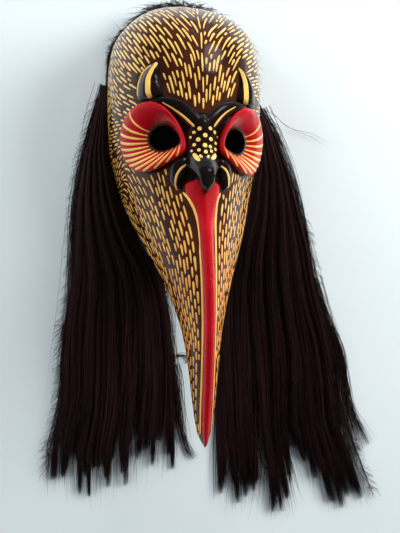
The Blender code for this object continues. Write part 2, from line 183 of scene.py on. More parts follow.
@dataclass(frozen=True)
class MaskForm:
    """The mask's sections from the crown to the tip, as its maker would measure them."""

    head_length: float = 0.209
    head_width: float = 0.174
    head_depth: float = 0.120
    snout_length: float = 0.252
    squareness: float = 2.45
    roof_pitch: float = 0.28
    roof_share: float = 0.7
    front_share: float = 0.75
    belly: float = 0.3
    wall: float = 0.009
    chin_wall: float = 0.036
    hollow_end: float = 0.245
    hollow_closing: float = 0.055
    sink: float = 0.004
    stations: Rows = (
        # place (1 at the chin, 2 at the tip), and shares of half width, ridge and underside
        (0.000, 0.000, 0.000, 0.000),
        (0.019, 0.295, 0.283, 0.000),
        (0.065, 0.557, 0.496, 0.000),
        (0.139, 0.784, 0.700, 0.000),
        (0.249, 0.948, 0.868, 0.000),
        (0.388, 0.982, 0.967, 0.000),
        (0.545, 0.990, 1.000, 0.000),
        (0.737, 0.978, 1.000, 0.000),
        (0.885, 0.915, 0.992, 0.000),
        (1.024, 0.812, 1.008, 0.083),
        (1.139, 0.688, 1.058, 0.283),
        (1.238, 0.560, 1.108, 0.458),
        (1.345, 0.420, 1.150, 0.608),
        (1.456, 0.301, 1.162, 0.733),
        (1.575, 0.210, 1.142, 0.817),
        (1.714, 0.157, 1.092, 0.867),
        (1.853, 0.116, 1.025, 0.875),
        (1.952, 0.068, 0.971, 0.875),
        (2.000, 0.000, 0.921, 0.921),
    )

    @property
    def length(self) -> float:
        """Length from the crown to the tip."""
        return self.head_length + self.snout_length

    def _read(self, column: int, along: Array) -> Array:
        """Read one column of the stations at these lengths along."""
        places = [
            min(row[0], 1) * self.head_length + max(row[0] - 1, 0) * self.snout_length
            for row in self.stations
        ]
        return fair(along, places, [row[column] for row in self.stations])

    def half_width(self, along: Array) -> Array:
        """Half the section's width."""
        return self._read(1, along) * self.head_width / 2

    def ridge_height(self, along: Array) -> Array:
        """Height of the front's ridge over the rim."""
        return self._read(2, along) * self.head_depth

    def underside(self, along: Array) -> Array:
        """Height of the underside over the rim."""
        return self._read(3, along) * self.head_depth

    def section(self, along: Array, turn: Array) -> tuple[Array, Array]:
        """Shares of the half width and of the height at this turn of the front.

        Args:
            along: Length along the mask, from the crown.
            turn: Angle round the front, 0 on the ridge.

        Returns:
            The share of the half width and that of the height.
        """
        side = power(np.sin(turn), 2 / self.squareness)
        rise = np.abs(np.cos(turn)) ** (2 / self.squareness)
        roof = self.roof_pitch * ease(0, self.roof_share * self.length, along)
        return side, rise * (1 - roof * np.abs(side))

    def front(self, along: Array, turn: Array) -> Array:
        """Points of the front, for turns from -90 degrees on the left edge to 90 on the right.

        Args:
            along: Length along the mask, from the crown.
            turn: Angle round the front, in radians.

        Returns:
            The points.
        """
        side, rise = self.section(along, turn)
        low = self.underside(along)
        height = low + (self.ridge_height(along) - low) * rise
        return np.stack(np.broadcast_arrays(self.half_width(along) * side, self.wall / 2 - along, height), -1)

    def front_turn(self, turn: Array) -> tuple[Array, Array, Array]:
        """Split a whole turn into the front's angle and the share of the way back below.

        Args:
            turn: Share of the turn round the form.

        Returns:
            Whether it is on the front, the angle there, and the share of the way back.
        """
        over = turn <= self.front_share
        angle = math.pi * (np.where(over, turn / self.front_share, 0) - 0.5)
        return over, angle, (turn - self.front_share) / (1 - self.front_share)

    def outside(self, share: Array, turn: Array) -> Array:
        """The closed outside, flat below the head and full below the snout.

        Args:
            share: Share of the way from pole to pole.
            turn: Share of the turn round the form.

        Returns:
            Its points.
        """
        along = self.length * (1 - np.cos(math.pi * share)) / 2
        over, angle, back = self.front_turn(turn)
        point = self.front(along, angle)
        width = self.half_width(along)
        belly = np.minimum(self.belly * width, self.underside(along)) * np.sin(math.pi * back)
        under = np.stack([width * (1 - 2 * back), point[:, 1], self.underside(along) - belly], -1)
        return np.where(over[:, None], point, under)

    def hollow(self, share: Array, turn: Array) -> Array:
        """The face hollow: the outside drawn in by the wall, its lower end in the chin.

        Args:
            share: Share of the way from pole to pole.
            turn: Share of the turn round the form.

        Returns:
            Its points.
        """
        inner = (self.hollow_end - self.wall) * (1 - np.cos(math.pi * share)) / 2
        along = self.wall + inner
        outer = inner * self.head_length / (self.head_length - self.wall)
        past = np.maximum(along - self.hollow_end + self.hollow_closing, 0) / self.hollow_closing
        closing = np.sqrt(np.clip(1 - past**2, 0, 1))
        width = self.half_width(outer) * (1 - 2 * self.wall / self.head_width) * closing
        top = self.ridge_height(outer) * (1 - self.wall / self.head_depth)
        low = self.underside(along + self.chin_wall) - self.sink
        middle = (top + low) / 2
        top = middle + (top - middle) * closing
        low = middle + (low - middle) * closing
        over, angle, back = self.front_turn(turn)
        side, rise = self.section(along, angle)
        x = width * np.where(over, side, 1 - 2 * back)
        z = np.where(over, low + (top - low) * rise, low)
        return np.stack([x, self.wall / 2 - along, z], -1)


class Chart:
    """A map of the mask's front, from lengths across and along it to points in space."""

    step = 0.001
    columns = 240

    def __init__(self, form: MaskForm) -> None:
        """Measure the front once, ring by ring.

        Args:
            form: The mask's sections.
        """
        self.form = form
        self.rows = np.arange(self.step / 2, form.length, self.step)
        turns = np.radians(np.linspace(-90, 90, self.columns + 1))
        points = form.front(self.rows[:, None], turns[None, :])
        gaps = np.linalg.norm(np.diff(points, axis=1), axis=2)
        lengths = np.concatenate([np.zeros((len(self.rows), 1)), np.cumsum(gaps, axis=1)], axis=1)
        self.edge = lengths[:, self.columns // 2]
        shares = np.linspace(-1, 1, self.columns + 1)
        turn = np.array(
            [np.interp(shares * half, row - half, turns) for half, row in zip(self.edge, lengths)]
        )
        self.points = form.front(self.rows[:, None], turn)
        across, along = np.gradient(self.points, axis=1), np.gradient(self.points, axis=0)
        self.normals = unit(np.cross(along, across))

    def half_arc(self, along: Array) -> Array:
        """Length across from the midline to the rim's edge."""
        return np.interp(along, self.rows, self.edge)

    def place(self, across: Array, along: Array, rise: Array = 0) -> Array:
        """Find the points at these lengths, a little proud of the front.

        Args:
            across: Length from the midline round the section.
            along: Length along the mask, from the crown.
            rise: Height over the front.

        Returns:
            The points.
        """
        across, along = np.broadcast_arrays(np.asarray(across, float), np.asarray(along, float))
        row = np.clip(along / self.step - 0.5, 0, len(self.rows) - 1.001)
        share = np.clip(across / self.half_arc(along), -1, 1)
        column = np.clip((share + 1) / 2 * self.columns, 0, self.columns - 0.001)
        i, j = row.astype(int), column.astype(int)
        u, v = (row - i)[..., None], (column - j)[..., None]

        def read(table: Array) -> Array:
            """Read a table between its four nearest entries."""
            upper = table[i, j] * (1 - v) + table[i, j + 1] * v
            return upper * (1 - u) + (table[i + 1, j] * (1 - v) + table[i + 1, j + 1] * v) * u

        return read(self.points) + unit(read(self.normals)) * np.asarray(rise)[..., None]


@dataclass(frozen=True)
class EyeForm:
    """The domed disc round an eye and the hole in it."""

    centre: tuple[float, float] = (0.054, 0.1650)
    length: float = 0.074
    height: float = 0.064
    rise: float = 0.0072
    hole_centre: tuple[float, float] = (0.0385, 0.167)
    hole_length: float = 0.031
    hole_height: float = 0.023
    corner_drop: float = 0.175
    profile: Rows = (
        (0.00, -0.25),
        (1.00, -0.25),
        (1.22, 0.40),
        (1.50, 0.85),
        (1.78, 1.00),
        (1.94, 0.92),
        (2.00, 0.72),
        (2.00, -0.50),
        (1.00, -0.60),
        (0.00, -0.60),
    )

    def teardrop(
        self, turn: Array, centre: tuple[float, float], length: float, height: float
    ) -> tuple[Array, Array]:
        """The eye's outline: round outside, drawn down to a corner towards the nose.

        Args:
            turn: Share of the turn round the form.
            centre: Its middle, across and along.
            length: Its length across.
            height: Its height.

        Returns:
            Lengths across and along.
        """
        angle = 2 * math.pi * turn
        inward = np.maximum(0, -np.cos(angle))
        reach = np.where(inward > 0, 0.52, 0.48) * length
        across = centre[0] + reach * np.cos(angle)
        along = centre[1] - height / 2 * np.sin(angle) * (1 - 0.25 * inward**2)
        return across, along + self.corner_drop * height * inward**3

    def spot(self, chart: Chart, side: int, reach: Array, turn: Array, rise: Array) -> Array:
        """The point at a reach of 0 at the hole's centre, 1 at its edge and 2 at the disc's edge.

        Args:
            chart: The map of the front.
            side: -1 on the left and 1 on the right.
            reach: The reach.
            turn: Share of the turn round the form.
            rise: Height over the front.

        Returns:
            The points.
        """
        inner = self.teardrop(turn, self.hole_centre, self.hole_length, self.hole_height)
        outer = self.teardrop(turn, self.centre, self.length, self.height)
        across, along = (
            middle + (near - middle) * np.minimum(reach, 1) + (far - near) * np.maximum(reach - 1, 0)
            for middle, near, far in zip(self.hole_centre, inner, outer)
        )
        return chart.place(side * across, along, rise)

    def height_at(self, reach: Array) -> Array:
        """Height of the disc's dome at this reach."""
        top = self.profile[:7]
        return fair(reach, [r[0] for r in top], [r[1] for r in top]) * self.rise

    def disc(self, chart: Chart, side: int) -> Place:
        """The closed disc, falling as a funnel to the hole and ending in an upright edge.

        Args:
            chart: The map of the front.
            side: -1 on the left and 1 on the right.

        Returns:
            What places its points.
        """
        smooth = [(r, float(self.height_at(np.array(r))) / self.rise) for r in np.linspace(1, 1.97, 12)]
        profile = [self.profile[0], *smooth, *self.profile[6:]]
        reaches, rises = zip(*profile)

        def place(share: Array, turn: Array) -> Array:
            """Points of the disc.

            Args:
                share: Share of the way from pole to pole.
                turn: Share of the turn round the form.

            Returns:
                The points.
            """
            at = share * (len(profile) - 1)
            reach = np.interp(at, range(len(profile)), reaches)
            return self.spot(chart, side, reach, turn, np.interp(at, range(len(profile)), rises) * self.rise)

        return place

    def hole(self, chart: Chart, side: int, wall: float) -> Place:
        """The cutter of the eye hole, wider in front than behind.

        Args:
            chart: The map of the front.
            side: -1 on the left and 1 on the right.
            wall: The mask's wall.

        Returns:
            What places its points.
        """
        sizes = (0, 1.1, 1.0, 0.9, 0)
        rises = (wall, wall, 0, -1.7 * wall, -1.7 * wall)

        def place(share: Array, turn: Array) -> Array:
            """Points of the cutter.

            Args:
                share: Share of the way from pole to pole.
                turn: Share of the turn round the form.

            Returns:
                The points.
            """
            at = share * (len(sizes) - 1)
            size = np.interp(at, range(len(sizes)), sizes)
            across, along = self.teardrop(turn, self.hole_centre, self.hole_length, self.hole_height)
            across = self.hole_centre[0] + (across - self.hole_centre[0]) * size
            along = self.hole_centre[1] + (along - self.hole_centre[1]) * size
            return chart.place(side * across, along, np.interp(at, range(len(rises)), rises))

        return place


@dataclass(frozen=True)
class CarvedRidge:
    """A raised band along rows of (across, along, share of the width, share of the rise).

    Along is start + length times the row's value, which is metres where they are left at 0 and 1.
    """

    rows: Rows
    width: float
    rise: float
    fullness: float
    start: float = 0
    length: float = 1
    sink: float = 0.004

    def form(self, chart: Chart, side: int) -> Place:
        """The closed band, sunk a little into the wood.

        Args:
            chart: The map of the front.
            side: -1 on the left and 1 on the right.

        Returns:
            What places its points.
        """
        across, along, widths, rises = np.array(self.rows).T
        along = self.start + self.length * along
        steps = np.arange(len(self.rows))

        def place(share: Array, turn: Array) -> Array:
            """Points of the band.

            Args:
                share: Share of the way from pole to pole.
                turn: Share of the turn round the form.

            Returns:
                The points.
            """
            at = share * steps[-1]
            near = 0.02
            way = [fair(at + near, steps, v) - fair(at - near, steps, v) for v in (across, along)]
            way = np.array(way) / (np.hypot(*way) + 1e-9)
            angle = 2 * math.pi * turn
            sideways = fair(at, steps, widths) * self.width / 2 * power(np.cos(angle), 2 / self.fullness)
            height = fair(at, steps, rises) * self.rise * np.abs(np.sin(angle)) ** (2 / self.fullness)
            height = np.where(np.sin(angle) >= -1e-6, height, -self.sink * np.minimum(1, -3 * np.sin(angle)))
            return chart.place(
                side * (fair(at, steps, across) + sideways * way[1]),
                fair(at, steps, along) - sideways * way[0],
                height,
            )

        return place


BROW = CarvedRidge(
    rows=(
        (0.058, 0.1315, 0, 0),
        (0.048, 0.1330, 0.55, 0.8),
        (0.036, 0.1350, 0.8, 1),
        (0.024, 0.1400, 1, 1),
        (0.013, 0.1490, 1.1, 1),
        (0.004, 0.1580, 1.1, 0.9),
        (0.000, 0.1640, 0, 0),
    ),
    width=0.014,
    rise=0.0045,
    fullness=2,
)
HORN = CarvedRidge(
    rows=(
        (0.0405, 0, 0, 0),
        (0.0445, 0.17, 0.34, 0.5),
        (0.0490, 0.40, 0.68, 0.8),
        (0.0510, 0.65, 0.92, 1),
        (0.0510, 0.88, 1, 1),
        (0.0505, 1.10, 0, 0),
    ),
    width=0.027,
    rise=0.008,
    fullness=1.7,
    start=0.0955,
    length=0.036,
)
BEAK = CarvedRidge(
    rows=(
        (0, 0, 0, 0),
        (0, 0.12, 0.72, 0.26),
        (0, 0.31, 0.94, 0.31),
        (0, 0.50, 1, 0.44),
        (0, 0.63, 0.94, 0.74),
        (0, 0.76, 0.56, 0.98),
        (0, 0.89, 0.19, 1),
        (0, 0.97, 0.06, 0.84),
        (0, 1, 0, 0.5),
    ),
    width=0.032,
    rise=0.018,
    fullness=1.75,
    start=0.146,
    length=0.078,
)
WING = CarvedRidge(
    rows=(
        (0.0130, 0.1870, 0, 0),
        (0.0195, 0.1905, 0.8, 0.8),
        (0.0240, 0.1980, 1, 1),
        (0.0245, 0.2075, 0.95, 0.9),
        (0.0215, 0.2180, 0, 0),
    ),
    width=0.017,
    rise=0.006,
    fullness=2,
)
LIP = CarvedRidge(
    rows=(
        (0, 0.2050, 0, 0),
        (0, 0.2130, 1, 1),
        (0, 0.2250, 0.92, 1),
        (0, 0.2380, 0.64, 1),
        (0, 0.2560, 0.44, 1),
        (0, 0.2900, 0.37, 1),
        (0, 0.3500, 0.34, 1),
        (0, 0.4100, 0.33, 0.9),
        (0, 0.4400, 0.27, 0.7),
        (0, 0.4560, 0.10, 0.6),
        (0, 0.4595, 0, 0),
    ),
    width=0.036,
    rise=0.0035,
    fullness=1.5,
)


# Finishes


class Socket(Enum):
    """The kinds of socket that a shader node group has."""

    NUMBER = "NodeSocketFloat"
    COLOUR = "NodeSocketColor"


class Nodes:
    """A small hand for placing and joining shader nodes."""

    def __init__(self, tree: bpy.types.NodeTree) -> None:
        """Keep the tree."""
        self.tree = tree

    def add(self, kind: str, **settings: object) -> bpy.types.Node:
        """Add a node and set its properties.

        Args:
            kind: The node's type.
            **settings: Its properties.

        Returns:
            The node.
        """
        node = self.tree.nodes.new(kind)
        for name, value in settings.items():
            setattr(node, name, value)
        return node

    def feed(self, socket: bpy.types.NodeSocket, value: object) -> None:
        """Give a socket a value or a link from another socket.

        Args:
            socket: The socket that is fed.
            value: A value, or a socket to link from.
        """
        if isinstance(value, bpy.types.NodeSocket):
            self.tree.links.new(value, socket)
        else:
            socket.default_value = value

    def math(self, operation: str, *values: object, clamp: bool = False) -> bpy.types.NodeSocket:
        """Work out a number.

        Args:
            operation: The sum's name.
            *values: Values or sockets.
            clamp: Keep it from 0 to 1.

        Returns:
            The number's socket.
        """
        node = self.add("ShaderNodeMath", operation=operation, use_clamp=clamp)
        for socket, value in zip(node.inputs, values):
            self.feed(socket, value)
        return node.outputs[0]

    def noise(
        self, where: object, scale: float, detail: float = 3, roughness: float = 0.5
    ) -> bpy.types.NodeSocket:
        """A noise from 0 to 1.

        Args:
            where: Socket of the places.
            scale: Its scale.
            detail: Its detail.
            roughness: Its roughness.

        Returns:
            The noise's socket.
        """
        node = self.add("ShaderNodeTexNoise")
        self.feed(node.inputs["Vector"], where)
        self.feed(node.inputs["Scale"], scale)
        self.feed(node.inputs["Detail"], detail)
        self.feed(node.inputs["Roughness"], roughness)
        return node.outputs["Fac"]

    def ramp(
        self, value: object, low: float, high: float, start: float = 0, end: float = 1
    ) -> bpy.types.NodeSocket:
        """Spread a number from one range over another, smoothly.

        Args:
            value: Socket of the number.
            low: Low end of its range.
            high: High end of its range.
            start: What the low end becomes.
            end: What the high end becomes.

        Returns:
            The number's socket.
        """
        node = self.add("ShaderNodeMapRange", interpolation_type="SMOOTHSTEP")
        for socket, given in zip(node.inputs[:5], (value, low, high, start, end)):
            self.feed(socket, given)
        return node.outputs[0]

    def mix(self, share: object, first: object, second: object) -> bpy.types.NodeSocket:
        """Mix two colours.

        Args:
            share: Share of the second.
            first: The first.
            second: The second.

        Returns:
            The colour's socket.
        """
        node = self.add("ShaderNodeMix", data_type="RGBA")
        for name, value in (("Factor", share), ("A", first), ("B", second)):
            socket = next(s for s in node.inputs if s.name == name and s.enabled)
            self.feed(socket, value)
        return next(s for s in node.outputs if s.enabled)

    def bump(self, height: object, strength: float, distance: float) -> bpy.types.NodeSocket:
        """Tilt the surface's normals by a height.

        Args:
            height: Socket of the height.
            strength: How much of it shows.
            distance: What a height of one stands for.

        Returns:
            The normal's socket.
        """
        node = self.add("ShaderNodeBump")
        node.inputs["Strength"].default_value = strength
        node.inputs["Distance"].default_value = distance
        self.feed(node.inputs["Height"], height)
        return node.outputs[0]


def new_group(
    name: str, inputs: dict[str, Socket], outputs: dict[str, Socket]
) -> tuple[bpy.types.NodeTree, Nodes]:
    """Start a shader node group with named sockets.

    Args:
        name: The group's name.
        inputs: Its inputs' names and kinds.
        outputs: Its outputs' names and kinds.

    Returns:
        The group and the hand that fills it.
    """
    tree = bpy.data.node_groups.new(name, "ShaderNodeTree")
    for direction, sockets in (("INPUT", inputs), ("OUTPUT", outputs)):
        for socket, kind in sockets.items():
            tree.interface.new_socket(socket, in_out=direction, socket_type=kind.value)
    return tree, Nodes(tree)


class SharedEffects:
    """The shader node groups that several finishes use."""

    def __init__(self) -> None:
        """Build each group once."""
        self.lacquer = self._lacquer()
        self.fibre = self._fibre()

    def _lacquer(self) -> bpy.types.NodeTree:
        """Hand-brushed gloss lacquer: colour drift, ripples, dull patches and rubbed edges.

        Returns:
            The group.
        """
        tree, hand = new_group(
            "hand lacquer",
            {
                "Colour": Socket.COLOUR,
                "Deep Colour": Socket.COLOUR,
                "Worn Colour": Socket.COLOUR,
                "Wear": Socket.NUMBER,
            },
            {"Colour": Socket.COLOUR, "Roughness": Socket.NUMBER, "Height": Socket.NUMBER},
        )
        into, out = hand.add("NodeGroupInput"), hand.add("NodeGroupOutput")
        where = hand.add("ShaderNodeTexCoord").outputs["Object"]
        broad = hand.ramp(hand.noise(where, 38, 4, 0.6), 0.35, 0.68)
        colour = hand.mix(broad, into.outputs["Deep Colour"], into.outputs["Colour"])
        pointed = hand.ramp(hand.add("ShaderNodeNewGeometry").outputs["Pointiness"], 0.53, 0.6)
        patchy = hand.ramp(hand.noise(where, 240, 5, 0.65), 0.52, 0.66)
        rubbed = hand.math("MULTIPLY", pointed, patchy)
        rubbed = hand.math("MULTIPLY", rubbed, into.outputs["Wear"], clamp=True)
        hand.feed(out.inputs["Colour"], hand.mix(rubbed, colour, into.outputs["Worn Colour"]))
        dull = hand.ramp(hand.noise(where, 90, 5, 0.6), 0.4, 0.75, 0.16, 0.34)
        hand.feed(out.inputs["Roughness"], hand.math("ADD", dull, hand.math("MULTIPLY", rubbed, 0.35)))
        ripple = hand.math("MULTIPLY", hand.noise(where, 130, 3), 0.7)
        grit = hand.math("MULTIPLY", hand.noise(where, 900, 2), 0.12)
        hand.feed(out.inputs["Height"], hand.math("ADD", ripple, grit))
        return tree

    def _fibre(self) -> bpy.types.NodeTree:
        """Dark fibre: every strand has a tone of its own, and the lighter brown that some strands and streaks
        reach is painted sheen.

        Returns:
            The group.
        """
        tree, hand = new_group(
            "dark fibre",
            {"Dark": Socket.COLOUR, "Light": Socket.COLOUR},
            {"Colour": Socket.COLOUR, "Roughness": Socket.NUMBER},
        )
        into, out = hand.add("NodeGroupInput"), hand.add("NodeGroupOutput")
        where = hand.add("ShaderNodeTexCoord").outputs["Object"]
        tone = hand.add("ShaderNodeAttribute", attribute_name="tone").outputs["Fac"]
        streak = hand.add("ShaderNodeMapping")
        hand.feed(streak.inputs["Vector"], where)
        streak.inputs["Scale"].default_value = (900, 30, 900)
        lines = hand.noise(streak.outputs[0], 1, 3, 0.6)
        fine = hand.math("MULTIPLY", lines, 0.5)
        shade = hand.math("ADD", hand.math("MULTIPLY", tone, 0.6), fine, clamp=True)
        share = hand.ramp(shade, 0.25, 0.95)
        # the mix towards the lighter colour paints the hair's sheen into its colour
        hand.feed(out.inputs["Colour"], hand.mix(share, into.outputs["Dark"], into.outputs["Light"]))
        hand.feed(out.inputs["Roughness"], hand.ramp(shade, 0, 1, 0.42, 0.62))
        return tree


def shader_of(material: bpy.types.Material) -> tuple[Nodes, bpy.types.Node]:
    """Give a material its nodes and find its shader."""
    material.use_nodes = True
    return Nodes(material.node_tree), material.node_tree.nodes["Principled BSDF"]


@dataclass(frozen=True)
class Lacquer:
    """Gloss lacquer brushed on by hand."""

    name: str
    colour: tuple[float, float, float]
    deep: tuple[float, float, float]
    worn: tuple[float, float, float] = (0.09, 0.035, 0.018)
    wear: float = 0.6
    coat: float = 0.4
    specular: float = 0.38

    def material(self, effects: SharedEffects) -> bpy.types.Material:
        """Mix the lacquer.

        Args:
            effects: The shared node groups.

        Returns:
            The material.
        """
        made = bpy.data.materials.new(self.name)
        hand, shader = shader_of(made)
        group = hand.add("ShaderNodeGroup", node_tree=effects.lacquer)
        colours = {"Colour": self.colour, "Deep Colour": self.deep, "Worn Colour": self.worn}
        for socket, value in colours.items():
            group.inputs[socket].default_value = (*value, 1)
        group.inputs["Wear"].default_value = self.wear
        hand.feed(shader.inputs["Base Color"], group.outputs["Colour"])
        hand.feed(shader.inputs["Roughness"], group.outputs["Roughness"])
        hand.feed(shader.inputs["Normal"], hand.bump(group.outputs["Height"], 0.25, 0.0006))
        shader.inputs["Specular IOR Level"].default_value = self.specular
        shader.inputs["Coat Weight"].default_value = self.coat
        shader.inputs["Coat Roughness"].default_value = 0.09
        return made


@dataclass(frozen=True)
class Enamel:
    """The enamel of the brushed strokes, a little different from stroke to stroke."""

    name: str
    bright: tuple[float, float, float]
    warm: tuple[float, float, float]

    def material(self, effects: SharedEffects) -> bpy.types.Material:
        """Mix the enamel.

        Args:
            effects: The shared node groups.

        Returns:
            The material.
        """
        made = bpy.data.materials.new(self.name)
        hand, shader = shader_of(made)
        group = hand.add("ShaderNodeGroup", node_tree=effects.lacquer)
        tone = hand.add("ShaderNodeAttribute", attribute_name="tone").outputs["Fac"]
        hand.feed(group.inputs["Colour"], hand.mix(tone, (*self.bright, 1), (*self.warm, 1)))
        deep = tuple(0.82 * c for c in self.bright)
        deep_warm = tuple(0.8 * c for c in self.warm)
        hand.feed(group.inputs["Deep Colour"], hand.mix(tone, (*deep, 1), (*deep_warm, 1)))
        group.inputs["Worn Colour"].default_value = (*self.warm, 1)
        group.inputs["Wear"].default_value = 0
        hand.feed(shader.inputs["Base Color"], group.outputs["Colour"])
        hand.feed(shader.inputs["Roughness"], group.outputs["Roughness"])
        shader.inputs["Coat Weight"].default_value = 0.7
        shader.inputs["Coat Roughness"].default_value = 0.1
        return made


@dataclass(frozen=True)
class BareWood:
    """The unpainted wood of the hollow, darkened by handling."""

    name: str
    light: tuple[float, float, float] = (0.30, 0.17, 0.085)
    dark: tuple[float, float, float] = (0.13, 0.062, 0.03)

    def material(self, effects: SharedEffects) -> bpy.types.Material:
        """Build the grain.

        Args:
            effects: The shared node groups; not used.

        Returns:
            The material.
        """
        made = bpy.data.materials.new(self.name)
        hand, shader = shader_of(made)
        where = hand.add("ShaderNodeMapping")
        hand.feed(where.inputs["Vector"], hand.add("ShaderNodeTexCoord").outputs["Object"])
        where.inputs["Scale"].default_value = (260, 22, 260)
        grain = hand.noise(where.outputs[0], 1, 5, 0.65)
        share = hand.ramp(grain, 0.35, 0.7)
        hand.feed(shader.inputs["Base Color"], hand.mix(share, (*self.dark, 1), (*self.light, 1)))
        hand.feed(shader.inputs["Roughness"], hand.ramp(grain, 0.3, 0.7, 0.75, 0.55))
        hand.feed(shader.inputs["Normal"], hand.bump(grain, 0.4, 0.0008))
        return made


@dataclass(frozen=True)
class DarkFibre:
    """Near-black brown fibre, dull, with a faint painted sheen along the strands."""

    name: str
    dark: tuple[float, float, float] = (0.010, 0.0035, 0.0034)
    # the lighter colour is painted sheen, the hair's highlights
    light: tuple[float, float, float] = (0.037, 0.0165, 0.018)

    def material(self, effects: SharedEffects) -> bpy.types.Material:
        """Colour the fibre, with its painted sheen.

        Args:
            effects: The shared node groups.

        Returns:
            The material.
        """
        made = bpy.data.materials.new(self.name)
        hand, shader = shader_of(made)
        group = hand.add("ShaderNodeGroup", node_tree=effects.fibre)
        group.inputs["Dark"].default_value = (*self.dark, 1)
        group.inputs["Light"].default_value = (*self.light, 1)
        hand.feed(shader.inputs["Base Color"], group.outputs["Colour"])
        hand.feed(shader.inputs["Roughness"], group.outputs["Roughness"])
        shader.inputs["Specular IOR Level"].default_value = 0.3
        return made


# The carved mask


@dataclass
class CarvedMask:
    """The one piece of carved wood: head, snout, eyes, brow, horns, beak, nostril wings and lip."""

    form: MaskForm
    chart: Chart
    eye: EyeForm = field(default_factory=EyeForm)
    rings: int = 150
    segments: int = 192
    crease: float = 38
    # the black ground by the beak: half its width, its start and end along, and its lowest point
    beak_ground: tuple[float, float, float, float] = (0.026, 0.146, 0.214, 0.08)

    def build(self, looks: dict[str, bpy.types.Material]) -> bpy.types.Object:
        """Carve the mask.

        Args:
            looks: Materials named ground, red, black and wood.

        Returns:
            The mask as one mesh.
        """
        body = closed_form("mask_carved", self.rings, self.segments, self.form.outside)
        order = list(looks)
        for look in looks.values():
            body.data.materials.append(look)
        added = [
            (closed_form("beak", 64, 48, BEAK.form(self.chart, 1)), "black"),
            (closed_form("lip", 120, 32, LIP.form(self.chart, 1)), "red"),
        ]
        cuts = []
        for side in (-1, 1):
            added += [
                (closed_form("eye disc", 17, 128, self.eye.disc(self.chart, side)), "red"),
                (closed_form("brow", 48, 32, BROW.form(self.chart, side)), "black"),
                (closed_form("horn", 40, 40, HORN.form(self.chart, side)), "black"),
                (closed_form("wing", 40, 32, WING.form(self.chart, side)), "black"),
            ]
            hole = self.eye.hole(self.chart, side, self.form.wall)
            cuts.append((closed_form("eye hole", 4, 96, hole), "black"))
        cuts.insert(0, (closed_form("hollow", 64, 96, self.form.hollow), "wood"))
        for operation, forms in (("UNION", added), ("DIFFERENCE", cuts)):
            for other, look in forms:
                for material in looks.values():
                    other.data.materials.append(material)
                faces = other.data.polygons
                faces.foreach_set("material_index", [order.index(look)] * len(faces))
                change = body.modifiers.new(other.name, "BOOLEAN")
                change.operation = operation
                change.solver = "MANIFOLD"
                change.object = other
        made = as_mesh(body, "mask_carved")
        for other, _ in added + cuts:
            bpy.data.objects.remove(other)
        made.data.set_sharp_from_angle(angle=math.radians(self.crease))
        ground, black = order.index("ground"), order.index("black")
        reach, start, end, low = self.beak_ground
        for face in made.data.polygons:
            along = self.form.wall / 2 - face.center.y
            by_the_beak = abs(face.center.x) < reach and start < along < end and face.center.z > low
            if face.material_index == ground and by_the_beak and face.normal.z > 0:
                face.material_index = black
        return made


# The painter's brush


